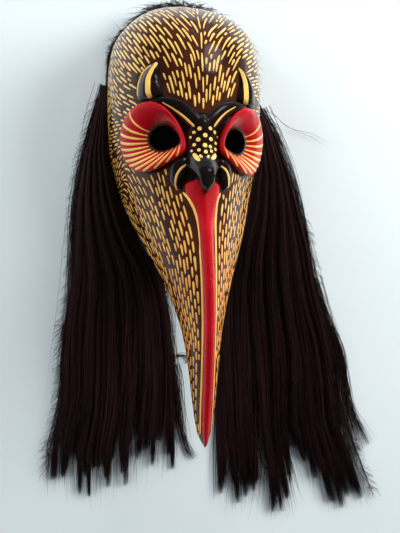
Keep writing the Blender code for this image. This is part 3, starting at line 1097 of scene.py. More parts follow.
class Brush:
    """Lays raised strokes of enamel on the carved surface."""

    narrow = 0.0032
    rise = 0.00022
    sink = 0.0003
    side_sink = 0.35
    evenness = 0.55
    flatness = 0.6
    search = 0.02
    crease = 60

    def __init__(self, carved: bpy.types.Object, chart: Chart, eye_point: Vector) -> None:
        """Keep the surface that the strokes lie on.

        Args:
            carved: The carved mask.
            chart: The map of its front.
            eye_point: Where the front is looked at from.
        """
        self.chart = chart
        self.eye_point = eye_point
        form = bmesh.new()
        form.from_mesh(carved.data)
        self.surface = BVHTree.FromBMesh(form)
        bmesh.ops.delete(form, geom=[f for f in form.faces if f.material_index == 0], context="FACES")
        self.forms = BVHTree.FromBMesh(form)
        form.free()
        self.strokes: list[Array] = []
        self.tones: list[float] = []

    def clear_of_forms(self, point: Array) -> float:
        """The distance from a point to the nearest carved form that has a colour of its own."""
        distance = self.forms.find_nearest(Vector(point), self.search)[3]
        return self.search if distance is None else distance

    def seen(self, across: Array, along: Array) -> Array:
        """Where the line of sight through these places first meets the carving.

        Args:
            across: Lengths across.
            along: Lengths along.

        Returns:
            The points.
        """
        found = []
        for target in self.chart.place(across, along):
            way = (Vector(target) - self.eye_point).normalized()
            hit = self.surface.ray_cast(self.eye_point, way)[0]
            found.append(hit if hit is not None else target)
        return np.array(found, float)

    def stroke(self, centre: Array, widths: Array, tone: float, rings: int) -> None:
        """Lay one stroke.

        Args:
            centre: Points along its middle, on or near the surface.
            widths: Its full width at each of these points.
            tone: How warm its colour is, from 0 to 1.
            rings: Steps along it.
        """
        steps = np.concatenate([[0], np.cumsum(np.linalg.norm(np.diff(centre, axis=0), axis=1))])
        even = np.linspace(0, 1, rings + 1)
        share = (1 - np.cos(math.pi * even)) / 2 * (1 - self.evenness) + even * self.evenness
        at = share * steps[-1]
        line = np.stack([fair(at, steps, column) for column in centre.T], -1)
        half = np.interp(at, steps, widths) / 2
        end = np.minimum(at, steps[-1] - at)
        cap = np.maximum(half.max(), 1e-5)
        half = half * np.sqrt(np.clip(1 - np.clip(1 - end / cap, 0, 1) ** 2, 0, 1))
        found = [self.surface.find_nearest(Vector(p)) for p in line]
        line = np.array([hit[0] for hit in found], float)
        normal = np.array([hit[1] for hit in found], float)
        across = unit(np.cross(normal, np.gradient(line, axis=0)))
        sides = 8 if widths.max() < self.narrow else 16
        angle = 2 * math.pi * np.arange(sides) / sides
        offset, lift = power(np.cos(angle), self.flatness), np.sin(angle)
        level = np.abs(lift) < 1e-6
        lift = np.where(level, -self.side_sink * self.sink, np.where(lift > 0, self.rise, -self.sink))
        body = np.minimum(1, half / (0.5 * cap))
        points = line[:, None] + across[:, None] * (half[:, None] * offset[None, :])[..., None]
        ring = []
        for row, share_up in zip(points, body):
            for point, up in zip(row, lift):
                near, out, _, _ = self.surface.find_nearest(Vector(point))
                ring.append(near + out * (up * share_up if up > 0 else up))
        self.strokes.append(np.array(ring, float).reshape(rings + 1, sides, 3))
        self.tones.append(tone)

    def finish(self, name: str) -> bpy.types.Object:
        """Make the strokes laid so far one object, and start afresh.

        Args:
            name: The object's name.

        Returns:
            The object.
        """
        form = bmesh.new()
        spheres: dict[tuple[int, int], tuple] = {}
        spots, tones = [], []
        for stroke, tone in zip(self.strokes, self.tones):
            counts = (len(stroke) - 1, stroke.shape[1])
            if counts not in spheres:
                spheres[counts] = self._sphere(*counts)
            sphere, ring, side, pole = spheres[counts]
            form.from_mesh(sphere)
            at = stroke[ring, side]
            at[pole] = stroke[ring[pole]].mean(axis=1)
            spots.append(at)
            tones.append(np.full(len(at), tone))
        for vertex, spot in zip(form.verts, np.concatenate(spots)):
            vertex.co = spot
        bmesh.ops.recalc_face_normals(form, faces=form.faces)
        mesh = mesh_of(name, form, self.crease)
        mesh.attributes.new("tone", "FLOAT", "POINT").data.foreach_set("value", np.concatenate(tones))
        self.strokes, self.tones = [], []
        return link(name, mesh)

    def _sphere(self, rings: int, sides: int) -> tuple[bpy.types.Mesh, Array, Array, Array]:
        """A sphere to be stretched into a stroke, with the ring and the side of each of its points.

        Args:
            rings: Rings from pole to pole.
            sides: Sides round it.

        Returns:
            The mesh, each point's ring and side, and whether it is a pole.
        """
        form = bmesh.new()
        bmesh.ops.create_uvsphere(form, u_segments=sides, v_segments=rings, radius=1)
        points = np.array([v.co for v in form.verts])
        ring = np.round(np.arccos(np.clip(points[:, 2], -1, 1)) / math.pi * rings).astype(int)
        side = np.round(np.arctan2(points[:, 1], points[:, 0]) / (2 * math.pi) * sides).astype(int) % sides
        return mesh_of("stroke sphere", form), ring, side, (ring == 0) | (ring == rings)


@dataclass
class Painting:
    """What the painter put on the lacquer, in millimetres across and along."""

    brush: Brush
    eye: EyeForm
    seed: int = 7
    lines: tuple[tuple[float, Rows], ...] = (
        # tone, then (across, along, width)
        (0.1, ((-42, 97, 1.6), (-48, 102.5, 3.9), (-53, 112, 5.3), (-53.4, 121, 5.3), (-50.5, 129.5, 4.6))),
        (0.1, ((40, 95.5, 1.6), (46.5, 101, 3.9), (51.5, 111, 5.2), (52.5, 121, 5.2), (51, 129.5, 4.6))),
        (0.25, ((-42, 96.5, 1.2), (-55, 101, 1.8), (-62.5, 109, 2.2), (-65.6, 119, 2.2), (-65.5, 128, 2.0))),
        (0.2, ((-39, 134, 0.9), (-27, 142, 1.6), (-17, 150, 2.4), (-8, 159, 2.4))),
        (0.2, ((37, 134, 0.9), (25, 142, 1.6), (17, 150, 2.4), (11, 158, 2.4))),
        (0.3, ((-16, 193, 1.8), (-22, 197.5, 2.6), (-26.3, 204, 2.6), (-27.6, 211, 2.2), (-26, 217, 1.6))),
        (0.3, ((19, 193, 1.8), (26, 196, 2.6), (30.4, 203, 2.6), (30.6, 209, 2.2), (28, 214, 1.6))),
        (
            0.35,
            (
                (-21.4, 218, 1.8),
                (-16.3, 224, 3.0),
                (-11.6, 233, 3.0),
                (-8.4, 245, 2.6),
                (-7.4, 261, 2.3),
                (-7.2, 300, 2.2),
                (-7.2, 360, 2.2),
                (-7.2, 410, 2.2),
                (-6.8, 448, 1.6),
            ),
        ),
        (
            0.35,
            (
                (19.6, 218, 1.8),
                (16.3, 224, 3.0),
                (13.2, 233, 3.0),
                (10.6, 247, 2.6),
                (9.4, 267, 2.3),
                (8.2, 310, 2.2),
                (8.0, 360, 2.2),
                (8.2, 410, 2.2),
                (7.2, 446, 1.6),
            ),
        ),
    )
    dots: Rows = (
        (-3.4, 160.6, 4.0),
        (7.4, 159.6, 3.8),
        (12.0, 162.6, 3.6),
        (2.0, 166.4, 4.4),
        (-8.6, 164.0, 3.2),
        (-12.0, 168.5, 2.8),
        (-4.6, 170.6, 4.2),
        (8.0, 169.4, 4.0),
        (15.0, 167.0, 2.8),
        (-8.4, 175.4, 3.4),
        (1.8, 175.6, 4.4),
        (7.4, 176.4, 3.4),
        (13.2, 172.6, 3.2),
        (-4.0, 180.2, 3.2),
        (2.6, 181.6, 3.6),
        (8.6, 180.4, 3.2),
        (13.0, 178.2, 3.2),
        (-11.0, 181.0, 2.6),
    )
    dabs: tuple[Rows, ...] = (
        ((-9.6, 183.0, 3.0), (-6.4, 187.0, 4.6), (-3.2, 190.6, 2.2)),
        ((-3.6, 184.4, 2.4), (-1.0, 187.4, 2.8)),
        ((13.8, 182.4, 3.0), (11.6, 185.6, 4.4), (9.0, 188.0, 2.4)),
        ((6.0, 184.2, 2.2), (4.6, 187.2, 2.6)),
    )
    flow: Rows = (
        # across, along, and the way the dashes run there
        (-14, 20, 0.55, 0.83),
        (-45, 25, 0.60, 0.80),
        (-14, 60, 0.55, 0.83),
        (-35, 75, 0.50, 0.87),
        (-9, 42, 0.50, 0.87),
        (-9, 80, 0.45, 0.89),
        (-26, 95, 0.40, 0.92),
        (-10, 105, 0.15, 0.99),
        (-30, 45, 0.50, 0.87),
        (-60, 60, 0.50, 0.87),
        (-80, 80, 0.60, 0.80),
        (-90, 100, 0.75, 0.65),
        (-80, 120, 0.85, 0.50),
        (-110, 100, 0.70, 0.70),
        (-110, 150, 1.00, 0.15),
        (-112, 182, 0.95, -0.35),
        (-75, 207, 0.55, 0.83),
        (-70, 225, 0.45, 0.90),
        (-34, 215, 0.20, 0.98),
        (-22, 240, 0.22, 0.97),
        (-50, 260, 0.30, 0.95),
        (-14, 290, 0.05, 1.00),
        (-30, 340, 0.12, 0.99),
        (14, 20, -0.55, 0.83),
        (45, 25, -0.65, 0.76),
        (18, 60, -0.65, 0.76),
        (9, 42, -0.50, 0.87),
        (9, 80, -0.45, 0.89),
        (28, 92, -0.50, 0.87),
        (12, 105, -0.15, 0.99),
        (40, 60, -0.75, 0.65),
        (60, 80, -0.80, 0.60),
        (70, 100, -0.90, 0.40),
        (80, 120, -0.97, 0.20),
        (112, 150, -1.00, 0.15),
        (112, 182, -0.95, -0.35),
        (75, 207, -0.55, 0.83),
        (70, 225, -0.45, 0.90),
        (38, 215, -0.20, 0.98),
        (24, 240, -0.22, 0.97),
        (50, 260, -0.30, 0.95),
        (14, 290, -0.05, 1.00),
        (30, 340, -0.12, 0.99),
        (0, 400, 0.00, 1.00),
    )
    row_gap: Rows = ((0, 4.0), (130, 4.1), (220, 4.2), (300, 4.4), (460, 4.6))
    dash_length: Rows = ((0, 17), (50, 24), (95, 20), (130, 12), (220, 15), (300, 12), (460, 11))
    dash_gap: Rows = ((0, 2.4), (60, 3.0), (220, 2.6), (300, 1.8), (460, 1.6))
    dash_width: Rows = ((0, 1.6), (60, 1.95), (200, 2.0), (300, 2.3), (460, 2.4))
    dash_tone: Rows = ((0, 0.12), (120, 0.22), (220, 0.5), (300, 0.8), (460, 1))
    outer_turns: tuple[float, ...] = (60, 38, 23, 10, -1, -11, -21, -32, -44, -57, -72, -89, -107, -125, -142)
    inner_turns: tuple[float, ...] = (34, 20, 8, -4, -17, -30, -43, -57, -71, -86, -102, -118, -134, -150,
                                      -166)
    stripe_width: float = 0.0029
    stripe_counts: tuple[int, int] = (13, 11)
    crown_gap: float = 0.004
    tip_gap: float = 0.006
    edge_gap: float = 0.0016
    form_gap: float = 0.0022
    lip_gap: float = 0.0042
    lip_start: float = 0.222
    lip_reach: float = 0.025
    line_step: float = 0.001
    line_steps: int = 160
    cell: float = 0.005
    closest: float = 0.70
    closest_start: float = 0.88
    beside: float = 1.02
    shortest_line: int = 5
    start_every: int = 4
    starts: Rows = ((0.003, 0.03), (-0.04, 0.12), (0.02, 0.3), (-0.02, 0.3))
    first_cut: float = 20
    shortest_dash: int = 6
    tries: int = 9
    well_apart: float = 0.008
    far_away: float = 9.0
    swells: Rows = ((0.62, 1, 1.05, 0.95, 0.55), (0.8, 1.05, 1, 0.8, 0.5))

    def lay_lines(self) -> None:
        """Horn stripes, brow lines, nostril lines, lip lines, and the dots and dabs of the nose."""
        for tone, rows in self.lines:
            across, along, widths = np.array(rows).T / 1000
            steps = np.linspace(0, 1, len(rows))
            at = np.linspace(0, 1, 3 * len(rows))
            spots = self.brush.seen(fair(at, steps, across), fair(at, steps, along))
            self.brush.stroke(spots, np.interp(at, steps, widths), tone, 4 * len(rows))
        for rows in self.dabs:
            across, along, widths = np.array(rows).T / 1000
            self.brush.stroke(self.brush.seen(across, along), widths, 0.1, 8)
        for across, along, width in self.dots:
            reach = 0.5 * width
            ends = np.array([(across, along - reach), (across, along + reach)]).T / 1000
            self.brush.stroke(self.brush.seen(*ends), np.full(2, 1.06 * width / 1000), 0.12, 6)

    def direction(self, spot: Array) -> Array:
        """The way the dashes run at this place across and along.

        Args:
            spot: The place.

        Returns:
            The way, of length one.
        """
        flow = np.array(self.flow)
        near = 1 / (np.sum((flow[:, :2] / 1000 - spot) ** 2, axis=1) + 1e-6) ** 1.5
        return unit(near @ flow[:, 2:])

    def open_ground(self, spot: Array, point: Array) -> bool:
        """Whether a dash may lie here, clear of the edges and of the carved forms.

        Args:
            spot: The place across and along.
            point: The point in space.

        Returns:
            Whether it may.
        """
        across, along = spot
        if not self.crown_gap < along < self.brush.chart.form.length - self.tip_gap:
            return False
        if abs(across) > self.brush.chart.half_arc(along) - self.edge_gap:
            return False
        by_the_lip = along > self.lip_start and abs(across) < self.lip_reach
        return self.brush.clear_of_forms(point) > (self.lip_gap if by_the_lip else self.form_gap)

    def streamlines(self) -> list[Array]:
        """Evenly spaced lines through the flow of the dashes, as places across and along.

        Returns:
            The lines.
        """
        chart, step, cell = self.brush.chart, self.line_step, self.cell
        probe = step / 2
        grid: dict[tuple[int, ...], list[Array]] = {}

        def crowded(point: Array, distance: float) -> bool:
            """Whether a line already passes closer than this.

            Args:
                point: The point.
                distance: The distance.

            Returns:
                Whether one does.
            """
            base = np.floor(point / cell).astype(int)
            for dx in (-1, 0, 1):
                for dy in (-1, 0, 1):
                    for dz in (-1, 0, 1):
                        for other in grid.get((base[0] + dx, base[1] + dy, base[2] + dz), ()):
                            if np.dot(other - point, other - point) < distance * distance:
                                return True
            return False

        def follow(start: Array, sign: int, gap: float) -> list[tuple[Array, Array]]:
            """Follow the flow one way until the ground ends or another line is near.

            Args:
                start: First place.
                sign: 1 with the flow and -1 against it.
                gap: Distance between lines.

            Returns:
                The places and their points.
            """
            line, spot = [], start
            for _ in range(self.line_steps):
                point = chart.place(spot[0], spot[1])
                if not self.open_ground(spot, point) or crowded(point, self.closest * gap):
                    break
                line.append((spot, point))
                way = self.direction(spot)
                ahead = chart.place(*(spot + way * probe))
                stretch = max(np.linalg.norm(ahead - point) / probe, 0.3)
                spot = spot + sign * way * step / min(stretch, 3)
            return line

        rows = [np.array(start) for start in self.starts]
        lines = []
        while rows:
            start = rows.pop(0)
            gap = np.interp(start[1] * 1000, *zip(*self.row_gap)) / 1000
            point = chart.place(start[0], start[1])
            if not self.open_ground(start, point) or crowded(point, self.closest_start * gap):
                continue
            back, ahead = follow(start, -1, gap), follow(start, 1, gap)
            line = back[:0:-1] + ahead
            if len(line) < self.shortest_line:
                continue
            for spot, point in line:
                grid.setdefault(tuple(np.floor(point / cell).astype(int)), []).append(point)
            spots = np.array([spot for spot, _ in line])
            lines.append(spots)
            for spot in spots[:: self.start_every]:
                way = self.direction(spot)
                side = np.array((way[1], -way[0])) * gap * self.beside
                rows += [spot + side, spot - side]
        return lines

    def cut(self, spots: Array, rng: np.random.Generator) -> tuple[list[tuple[int, int]], Array]:
        """Divide a line into dashes.

        Args:
            spots: The line's places, a millimetre apart.
            rng: Where the lengths and the first place are drawn from.

        Returns:
            The first and the last place of each dash, and the points in the middle of the gaps.
        """
        dashes, gaps = [], []
        place = -rng.uniform(0, self.first_cut)
        while place < len(spots) - 3:
            along = spots[int(max(place, 0))][1] * 1000
            length = np.interp(along, *zip(*self.dash_length)) * rng.uniform(0.8, 1.2)
            gap = np.interp(along, *zip(*self.dash_gap)) * rng.uniform(0.8, 1.25)
            first, last = int(max(place, 0)), int(min(place + length, len(spots) - 1))
            if last - first >= self.shortest_dash:
                dashes.append((first, last))
            place += length + gap
            if 0 < place - gap / 2 < len(spots) - 1:
                gaps.append(int(place - gap / 2))
        where = spots[np.array(gaps, int)]
        return dashes, self.brush.chart.place(where[:, 0], where[:, 1])

    def lay_dashes(self) -> None:
        """Cut the lines into short dashes, staggered against those of the lines beside them."""
        rng = np.random.default_rng(self.seed)
        laid = np.full((1, 3), self.far_away)
        for spots in self.streamlines():
            best, most = [], -1.0
            for _ in range(self.tries):
                dashes, gaps = self.cut(spots, rng)
                apart = np.zeros(1)
                if len(gaps):
                    apart = np.linalg.norm(gaps[:, None] - laid[None], axis=2).min(axis=1)
                score = np.minimum(apart, self.well_apart).mean()
                if score > most:
                    best, most, middles = dashes, score, gaps
            laid = np.concatenate([laid, middles])
            for first, last in best:
                line = spots[np.linspace(first, last, 5).astype(int)]
                along = line[0, 1] * 1000
                width = np.interp(along, *zip(*self.dash_width)) * rng.uniform(0.85, 1.12) / 1000
                swell = np.array(self.swells[int(rng.random() >= 0.5)])
                tone = np.clip(np.interp(along, *zip(*self.dash_tone)) + rng.normal(0, 0.13), 0, 1)
                self.brush.stroke(self.brush.chart.place(line[:, 0], line[:, 1]), width * swell, tone, 6)

    def lay_eye_stripes(self) -> None:
        """Stripes that fan out from each eye hole over the disc."""
        for side, count in zip((-1, 1), self.stripe_counts):
            for at in np.linspace(0, len(self.outer_turns) - 1, count):
                outer, inner = (
                    np.interp(at, range(len(turns)), turns) for turns in (self.outer_turns, self.inner_turns)
                )
                share = np.linspace(0, 1, 9)
                reach = 1.05 + 0.91 * share
                turn = (inner + (outer - inner) * share**1.5) / 360
                spots = self.eye.spot(self.brush.chart, side, reach, turn, self.eye.height_at(reach))
                width = self.stripe_width * np.interp(share, (0, 0.5, 1), (0.42, 0.92, 1.0))
                width = width * np.interp(at, (0, 1, 9, 14), (0.75, 0.94, 0.96, 0.62))
                self.brush.stroke(spots, width, np.interp(at, (0, 7, 14), (0.1, 0.2, 0.85)), 14)


# The hair


@dataclass(frozen=True)
class HairFall:
    """A fall of loose fibre on one side, as rows of (along, across) and ends of (share, along)."""

    name: str
    node: str
    side: int
    outer: Rows
    inner: Rows
    ends: Rows
    locks: int
    start: float = 0.080
    thickness: float = 0.022
    edge: float = 0.003

    def spread(self, form: MaskForm, share: Array, along: Array) -> Array:
        """The place in x at a share of the width from the outer edge.

        Args:
            form: The mask's sections.
            share: The share.
            along: Length along the mask, from the crown.

        Returns:
            The places.
        """
        beside = along < self.inner[0][0]
        near = np.where(beside, form.half_width(along) + 0.0012, fair(along, *zip(*self.inner)))
        far = fair(along, *zip(*self.outer))
        return far + (near - far) * share

    def height(self, share: Array, run: Array) -> Array:
        """The height of the fall's top.

        Args:
            share: Share of the width.
            run: Share of the length.

        Returns:
            The heights.
        """
        lock = np.abs(np.sin(math.pi * self.locks * share)) ** 0.7
        body = fair(run, (0, 0.15, 0.3, 0.7, 1), (0.1, 0.7, 1, 0.85, 0.15))
        round_over = np.clip(4 * share * (1 - share), 0, 1) ** 0.5
        return self.edge + (self.thickness - self.edge) * round_over * (1 - 0.35 * (1 - lock)) * body


LEFT_FALL = HairFall(
    name="fall_left",
    node="hair_left",
    side=-1,
    outer=(
        (0.080, 0.0925),
        (0.130, 0.1045),
        (0.180, 0.1165),
        (0.240, 0.1240),
        (0.300, 0.1265),
        (0.360, 0.1370),
        (0.440, 0.1410),
        (0.500, 0.1560),
        (0.530, 0.1550),
    ),
    inner=(
        (0.215, 0.0745),
        (0.250, 0.0570),
        (0.300, 0.0260),
        (0.360, 0.0145),
        (0.440, 0.0120),
        (0.530, 0.0140),
    ),
    ends=(
        (0.00, 0.512),
        (0.06, 0.527),
        (0.32, 0.538),
        (0.53, 0.537),
        (0.70, 0.520),
        (0.84, 0.516),
        (1.00, 0.530),
    ),
    locks=6,
)
RIGHT_FALL = HairFall(
    name="fall_right",
    node="hair_right",
    side=1,
    outer=(
        (0.080, 0.0945),
        (0.097, 0.1010),
        (0.127, 0.1170),
        (0.167, 0.1330),
        (0.208, 0.1440),
        (0.266, 0.1610),
        (0.330, 0.1740),
        (0.380, 0.1910),
        (0.420, 0.1990),
        (0.470, 0.2000),
        (0.520, 0.2190),
        (0.595, 0.2480),
    ),
    inner=(
        (0.215, 0.0745),
        (0.250, 0.0590),
        (0.300, 0.0430),
        (0.400, 0.0360),
        (0.600, 0.0370),
    ),
    ends=(
        (0.00, 0.588),
        (0.15, 0.595),
        (0.30, 0.587),
        (0.40, 0.560),
        (0.45, 0.492),
        (0.50, 0.562),
        (0.62, 0.586),
        (0.76, 0.570),
        (0.88, 0.574),
        (1.00, 0.568),
    ),
    locks=7,
)


SAME_PLACE = 1e-7


def strands(name: str, paths: Array, thick: Array, tones: Array) -> bpy.types.Object:
    """Make many fine strands one mesh.

    Args:
        name: The object's name.
        paths: Points of each strand, as (strand, point, xyz).
        thick: Radius at each point.
        tones: Shade of each strand, from 0 to 1.

    Returns:
        The strands as one mesh of three-sided tubes.
    """
    section = bpy.data.curves.new("strand section", "CURVE")
    outline = section.splines.new("POLY")
    outline.points.add(2)
    for point, angle in zip(outline.points, (90, 210, 330)):
        point.co = (math.cos(math.radians(angle)), math.sin(math.radians(angle)), 0, 1)
    outline.use_cyclic_u = True
    profile = link("strand section", section)
    curve = bpy.data.curves.new(name, "CURVE")
    curve.dimensions = "3D"
    curve.bevel_mode = "OBJECT"
    curve.bevel_object = profile
    curve.use_fill_caps = True
    count = paths.shape[1]
    for path, radius in zip(paths, thick):
        line = curve.splines.new("POLY")
        line.points.add(count - 1)
        places = np.concatenate([path, np.ones((count, 1))], 1)
        line.points.foreach_set("co", places.astype(np.float32).ravel())
        line.points.foreach_set("radius", radius.astype(np.float32))
    made = as_mesh(link(name, curve), name)
    bpy.data.objects.remove(profile)
    per_strand = len(made.data.vertices) // len(paths)
    layer = made.data.attributes.new("tone", "FLOAT", "POINT")
    layer.data.foreach_set("value", np.repeat(tones, per_strand).astype(np.float32))
    form = bmesh.new()
    form.from_mesh(made.data)
    bmesh.ops.remove_doubles(form, verts=form.verts, dist=SAME_PLACE)
    bmesh.ops.recalc_face_normals(form, faces=form.faces)
    form.to_mesh(made.data)
    form.free()
    made.data.shade_smooth()
    return made


@dataclass
class Hair:
    """All the loose fibre."""

    form: MaskForm
    count: int = 5200
    points: int = 11
    clumps: int = 36
    longest: float = 0.600
    fringe: float = 0.019
    frizz: int = 620
    crown_count: int = 6000
    loose_share: float = 0.10
    strand_radius: float = 0.00040
    lock_radius: float = 0.00036
    frizz_radius: float = 0.00026
    crown_radius: float = 0.00031
    loose_locks: tuple[tuple[int, float, Rows], ...] = (
        # strands, spread, then (x, y) in millimetres
        (40, 0.0036, ((-30, -300), (-20, -360), (-15, -400), (-10, -440), (-5, -495))),
        (24, 0.0030, ((-15, -400), (-10, -440), (0, -495), (10, -515))),
        (9, 0.0010, ((-10, -390), (0, -390), (5, -395), (0, -400))),
        (44, 0.0036, ((-35, -270), (-25, -325), (-20, -380), (-25, -430))),
        (46, 0.0034, ((170, -300), (190, -365), (205, -405), (210, -455), (230, -530))),
        (36, 0.0030, ((190, -365), (205, -405), (220, -470), (245, -520))),
        (2, 0.0020, ((110, -95), (135, -110), (165, -115), (190, -130))),
        (40, 0.0034, ((-90, -75), (-110, -140), (-125, -220), (-130, -320), (-145, -430))),
        (40, 0.0034, ((100, -90), (130, -150), (155, -230), (170, -305), (200, -390))),
    )
    seed: int = 11

    def fall(self, shape: HairFall) -> list[bpy.types.Object]:
        """Lay the clumps of strands of one fall over its inner mass.

        Args:
            shape: The fall.

        Returns:
            The mass and the strands.
        """
        rng = np.random.default_rng(self.seed + shape.side)
        clumps = self.clumps
        middle = np.clip((np.arange(clumps) + rng.uniform(0.1, 0.9, clumps)) / clumps, 0.012, 0.988)
        ends = fair(middle, *zip(*shape.ends)) + rng.normal(0, 0.011, clumps) - rng.exponential(0.014, clumps)
        drift = rng.normal(0, 1, (clumps, 3)) * (0.028, 0.016, 0.010)
        breadth = rng.uniform(0.5, 1.6, clumps)
        phase = rng.uniform(0, 6.3, (clumps, 3))
        lift = rng.uniform(0.7, 1.0, clumps)
        shade = rng.uniform(0, 1, clumps)
        t = np.linspace(0, 1, self.points)[None, :]
        made = [self._mass(shape)]
        n = self.count // 2
        for part in range(2):
            clump = rng.integers(0, clumps, n)
            loose = rng.random(n) < self.loose_share
            gathered = 1 - 0.74 * ease(0.15, 0.8, t)
            spread = rng.normal(0, 0.022, (n, 1)) * breadth[clump, None] * gathered
            spread = spread + rng.normal(0, 0.004, (n, 1)) * t**6
            wave = sum(
                drift[clump, k - 1, None] * np.sin(math.pi * k * t + phase[clump, k - 1, None])
                + rng.normal(0, 0.009 / k, (n, 1)) * np.sin(math.pi * k * t + rng.uniform(0, 6.3, (n, 1)))
                for k in (1, 2, 3)
            )
            stray = loose[:, None] * rng.normal(0, 0.07, (n, 1)) * t ** rng.uniform(1.2, 4, (n, 1))
            at = middle[clump, None] + spread + wave * (0.25 + 0.75 * t) + stray
            over = np.clip(at, -0.03, 1.03) - np.clip(at, 0, 1)
            end = ends[clump] - rng.exponential(0.0045, n) + loose * rng.normal(0, 0.012, n)
            end = np.minimum(end, self.form.wall / 2 + self.longest)
            along = shape.start + (end - shape.start)[:, None] * t
            inside = np.clip(at, 0, 1)
            x = shape.spread(self.form, inside, np.minimum(along, 0.6)) - over * 0.1 * ease(0.4, 0.8, t)
            level = (lift[clump] * rng.uniform(0.35, 1.0, n) ** 0.5)[:, None]
            z = shape.height(inside, t) * level + 0.0006
            path = np.stack([shape.side * x, self.form.wall / 2 - along, z], -1)
            taper = np.interp(t, (0, 0.85, 1), (1, 0.85, 0.1))
            radius = self.strand_radius * rng.uniform(0.6, 1.35, (n, 1)) * taper
            tones = np.clip(0.6 * shade[clump] + 0.4 * rng.uniform(0, 1, n), 0, 1)
            made.append(strands(f"{shape.name}_strands_{part + 1}", path, radius, tones))
        return made

    def _mass(self, shape: HairFall) -> bpy.types.Object:
        """The mass under the strands, shorter and lower than they are.

        Args:
            shape: The fall.

        Returns:
            The mass.
        """
        form = bmesh.new()
        bmesh.ops.create_grid(form, x_segments=10 * shape.locks, y_segments=60, size=0.5)
        floor = form.faces[:]
        raised = bmesh.ops.extrude_face_region(form, geom=floor)
        top = {item for item in raised["geom"] if isinstance(item, bmesh.types.BMVert)}
        share, run = np.array([(v.co.x + 0.5, v.co.y + 0.5) for v in form.verts]).T
        inside = 0.03 + 0.94 * share
        rag = 0.085 + 0.016 * np.sin(47 * share + 0.6) + 0.014 * np.sin(21 * share)
        length = fair(inside, *zip(*shape.ends)) - rag - shape.start
        along = shape.start + length * run
        x = shape.spread(self.form, inside, along)
        groove = 0.9 + 0.1 * np.sin(53 * share + 6 * np.sin(5 * run)) * np.sin(31 * share)
        height = (shape.height(inside, run) - 0.0035) * groove
        for i, vertex in enumerate(form.verts):
            z = max(height[i], 0.0012) if vertex in top else 0.0003
            vertex.co = (shape.side * x[i], self.form.wall / 2 - along[i], z)
        bmesh.ops.recalc_face_normals(form, faces=form.faces)
        made = link(f"{shape.name}_mass", mesh_of(shape.name, form, 70))
        layer = made.data.attributes.new("tone", "FLOAT", "POINT")
        layer.data.foreach_set("value", np.full(len(made.data.vertices), 0.2, np.float32))
        return made

    def strays(self) -> bpy.types.Object:
        """Locks that have come loose from the falls and lie by themselves on the floor.

        Returns:
            The locks.
        """
        rng = np.random.default_rng(self.seed + 5)
        t = np.linspace(0, 1, 12)
        paths, thick = [], []
        for count, spread, rows in self.loose_locks:
            x, y = (fair(t, np.linspace(0, 1, len(rows)), column) for column in np.array(rows).T / 1000)
            side = unit(np.stack([-np.gradient(y), np.gradient(x)], -1))
            offset = rng.normal(0, spread, (count, 1)) * (1 - 0.5 * t)
            offset = offset + rng.normal(0, spread, (count, 1)) * t**3
            sway = rng.normal(0, spread, (count, 1))
            offset = offset + sway * np.sin(5 * t + rng.uniform(0, 6.3, (count, 1)))
            z = 0.0008 + rng.uniform(0, 0.006, (count, 1)) * (1 - 0.7 * t)
            paths.append(np.stack([x + offset * side[:, 0], y + offset * side[:, 1], z + 0 * offset], -1))
            taper = np.interp(t, (0, 0.8, 1), (1, 0.8, 0.1))
            thick.append(self.lock_radius * rng.uniform(0.5, 1.2, (count, 1)) * taper)
        for shape in (LEFT_FALL, RIGHT_FALL):
            count = self.frizz
            along = shape.start + rng.uniform(0.02, 0.99, (count, 1)) * (shape.ends[0][1] - shape.start)
            length, lean = rng.uniform(0.008, 0.024, (count, 1)), rng.normal(0.4, 0.5, (count, 1))
            curl = 0.0016 * np.sin(7 * t + rng.uniform(0, 6.3, (count, 1))) * t
            down = along + length * np.cos(lean) * t
            out = np.minimum(length * np.sin(lean) * t + curl, 0.012)
            x = shape.spread(self.form, np.zeros(count)[:, None], np.minimum(down, 0.59)) + out - 0.001
            z = rng.uniform(0.001, 0.008, (count, 1)) + 0 * t
            paths.append(np.stack([shape.side * x, self.form.wall / 2 - np.minimum(down, 0.602), z], -1))
            taper = np.interp(t, (0, 0.7, 1), (1, 0.8, 0.2))
            thick.append(self.frizz_radius * rng.uniform(0.5, 1.2, (count, 1)) * taper)
        paths, thick = np.concatenate(paths), np.concatenate(thick)
        return strands("loose_locks", paths, thick, rng.uniform(0, 1, len(paths)))

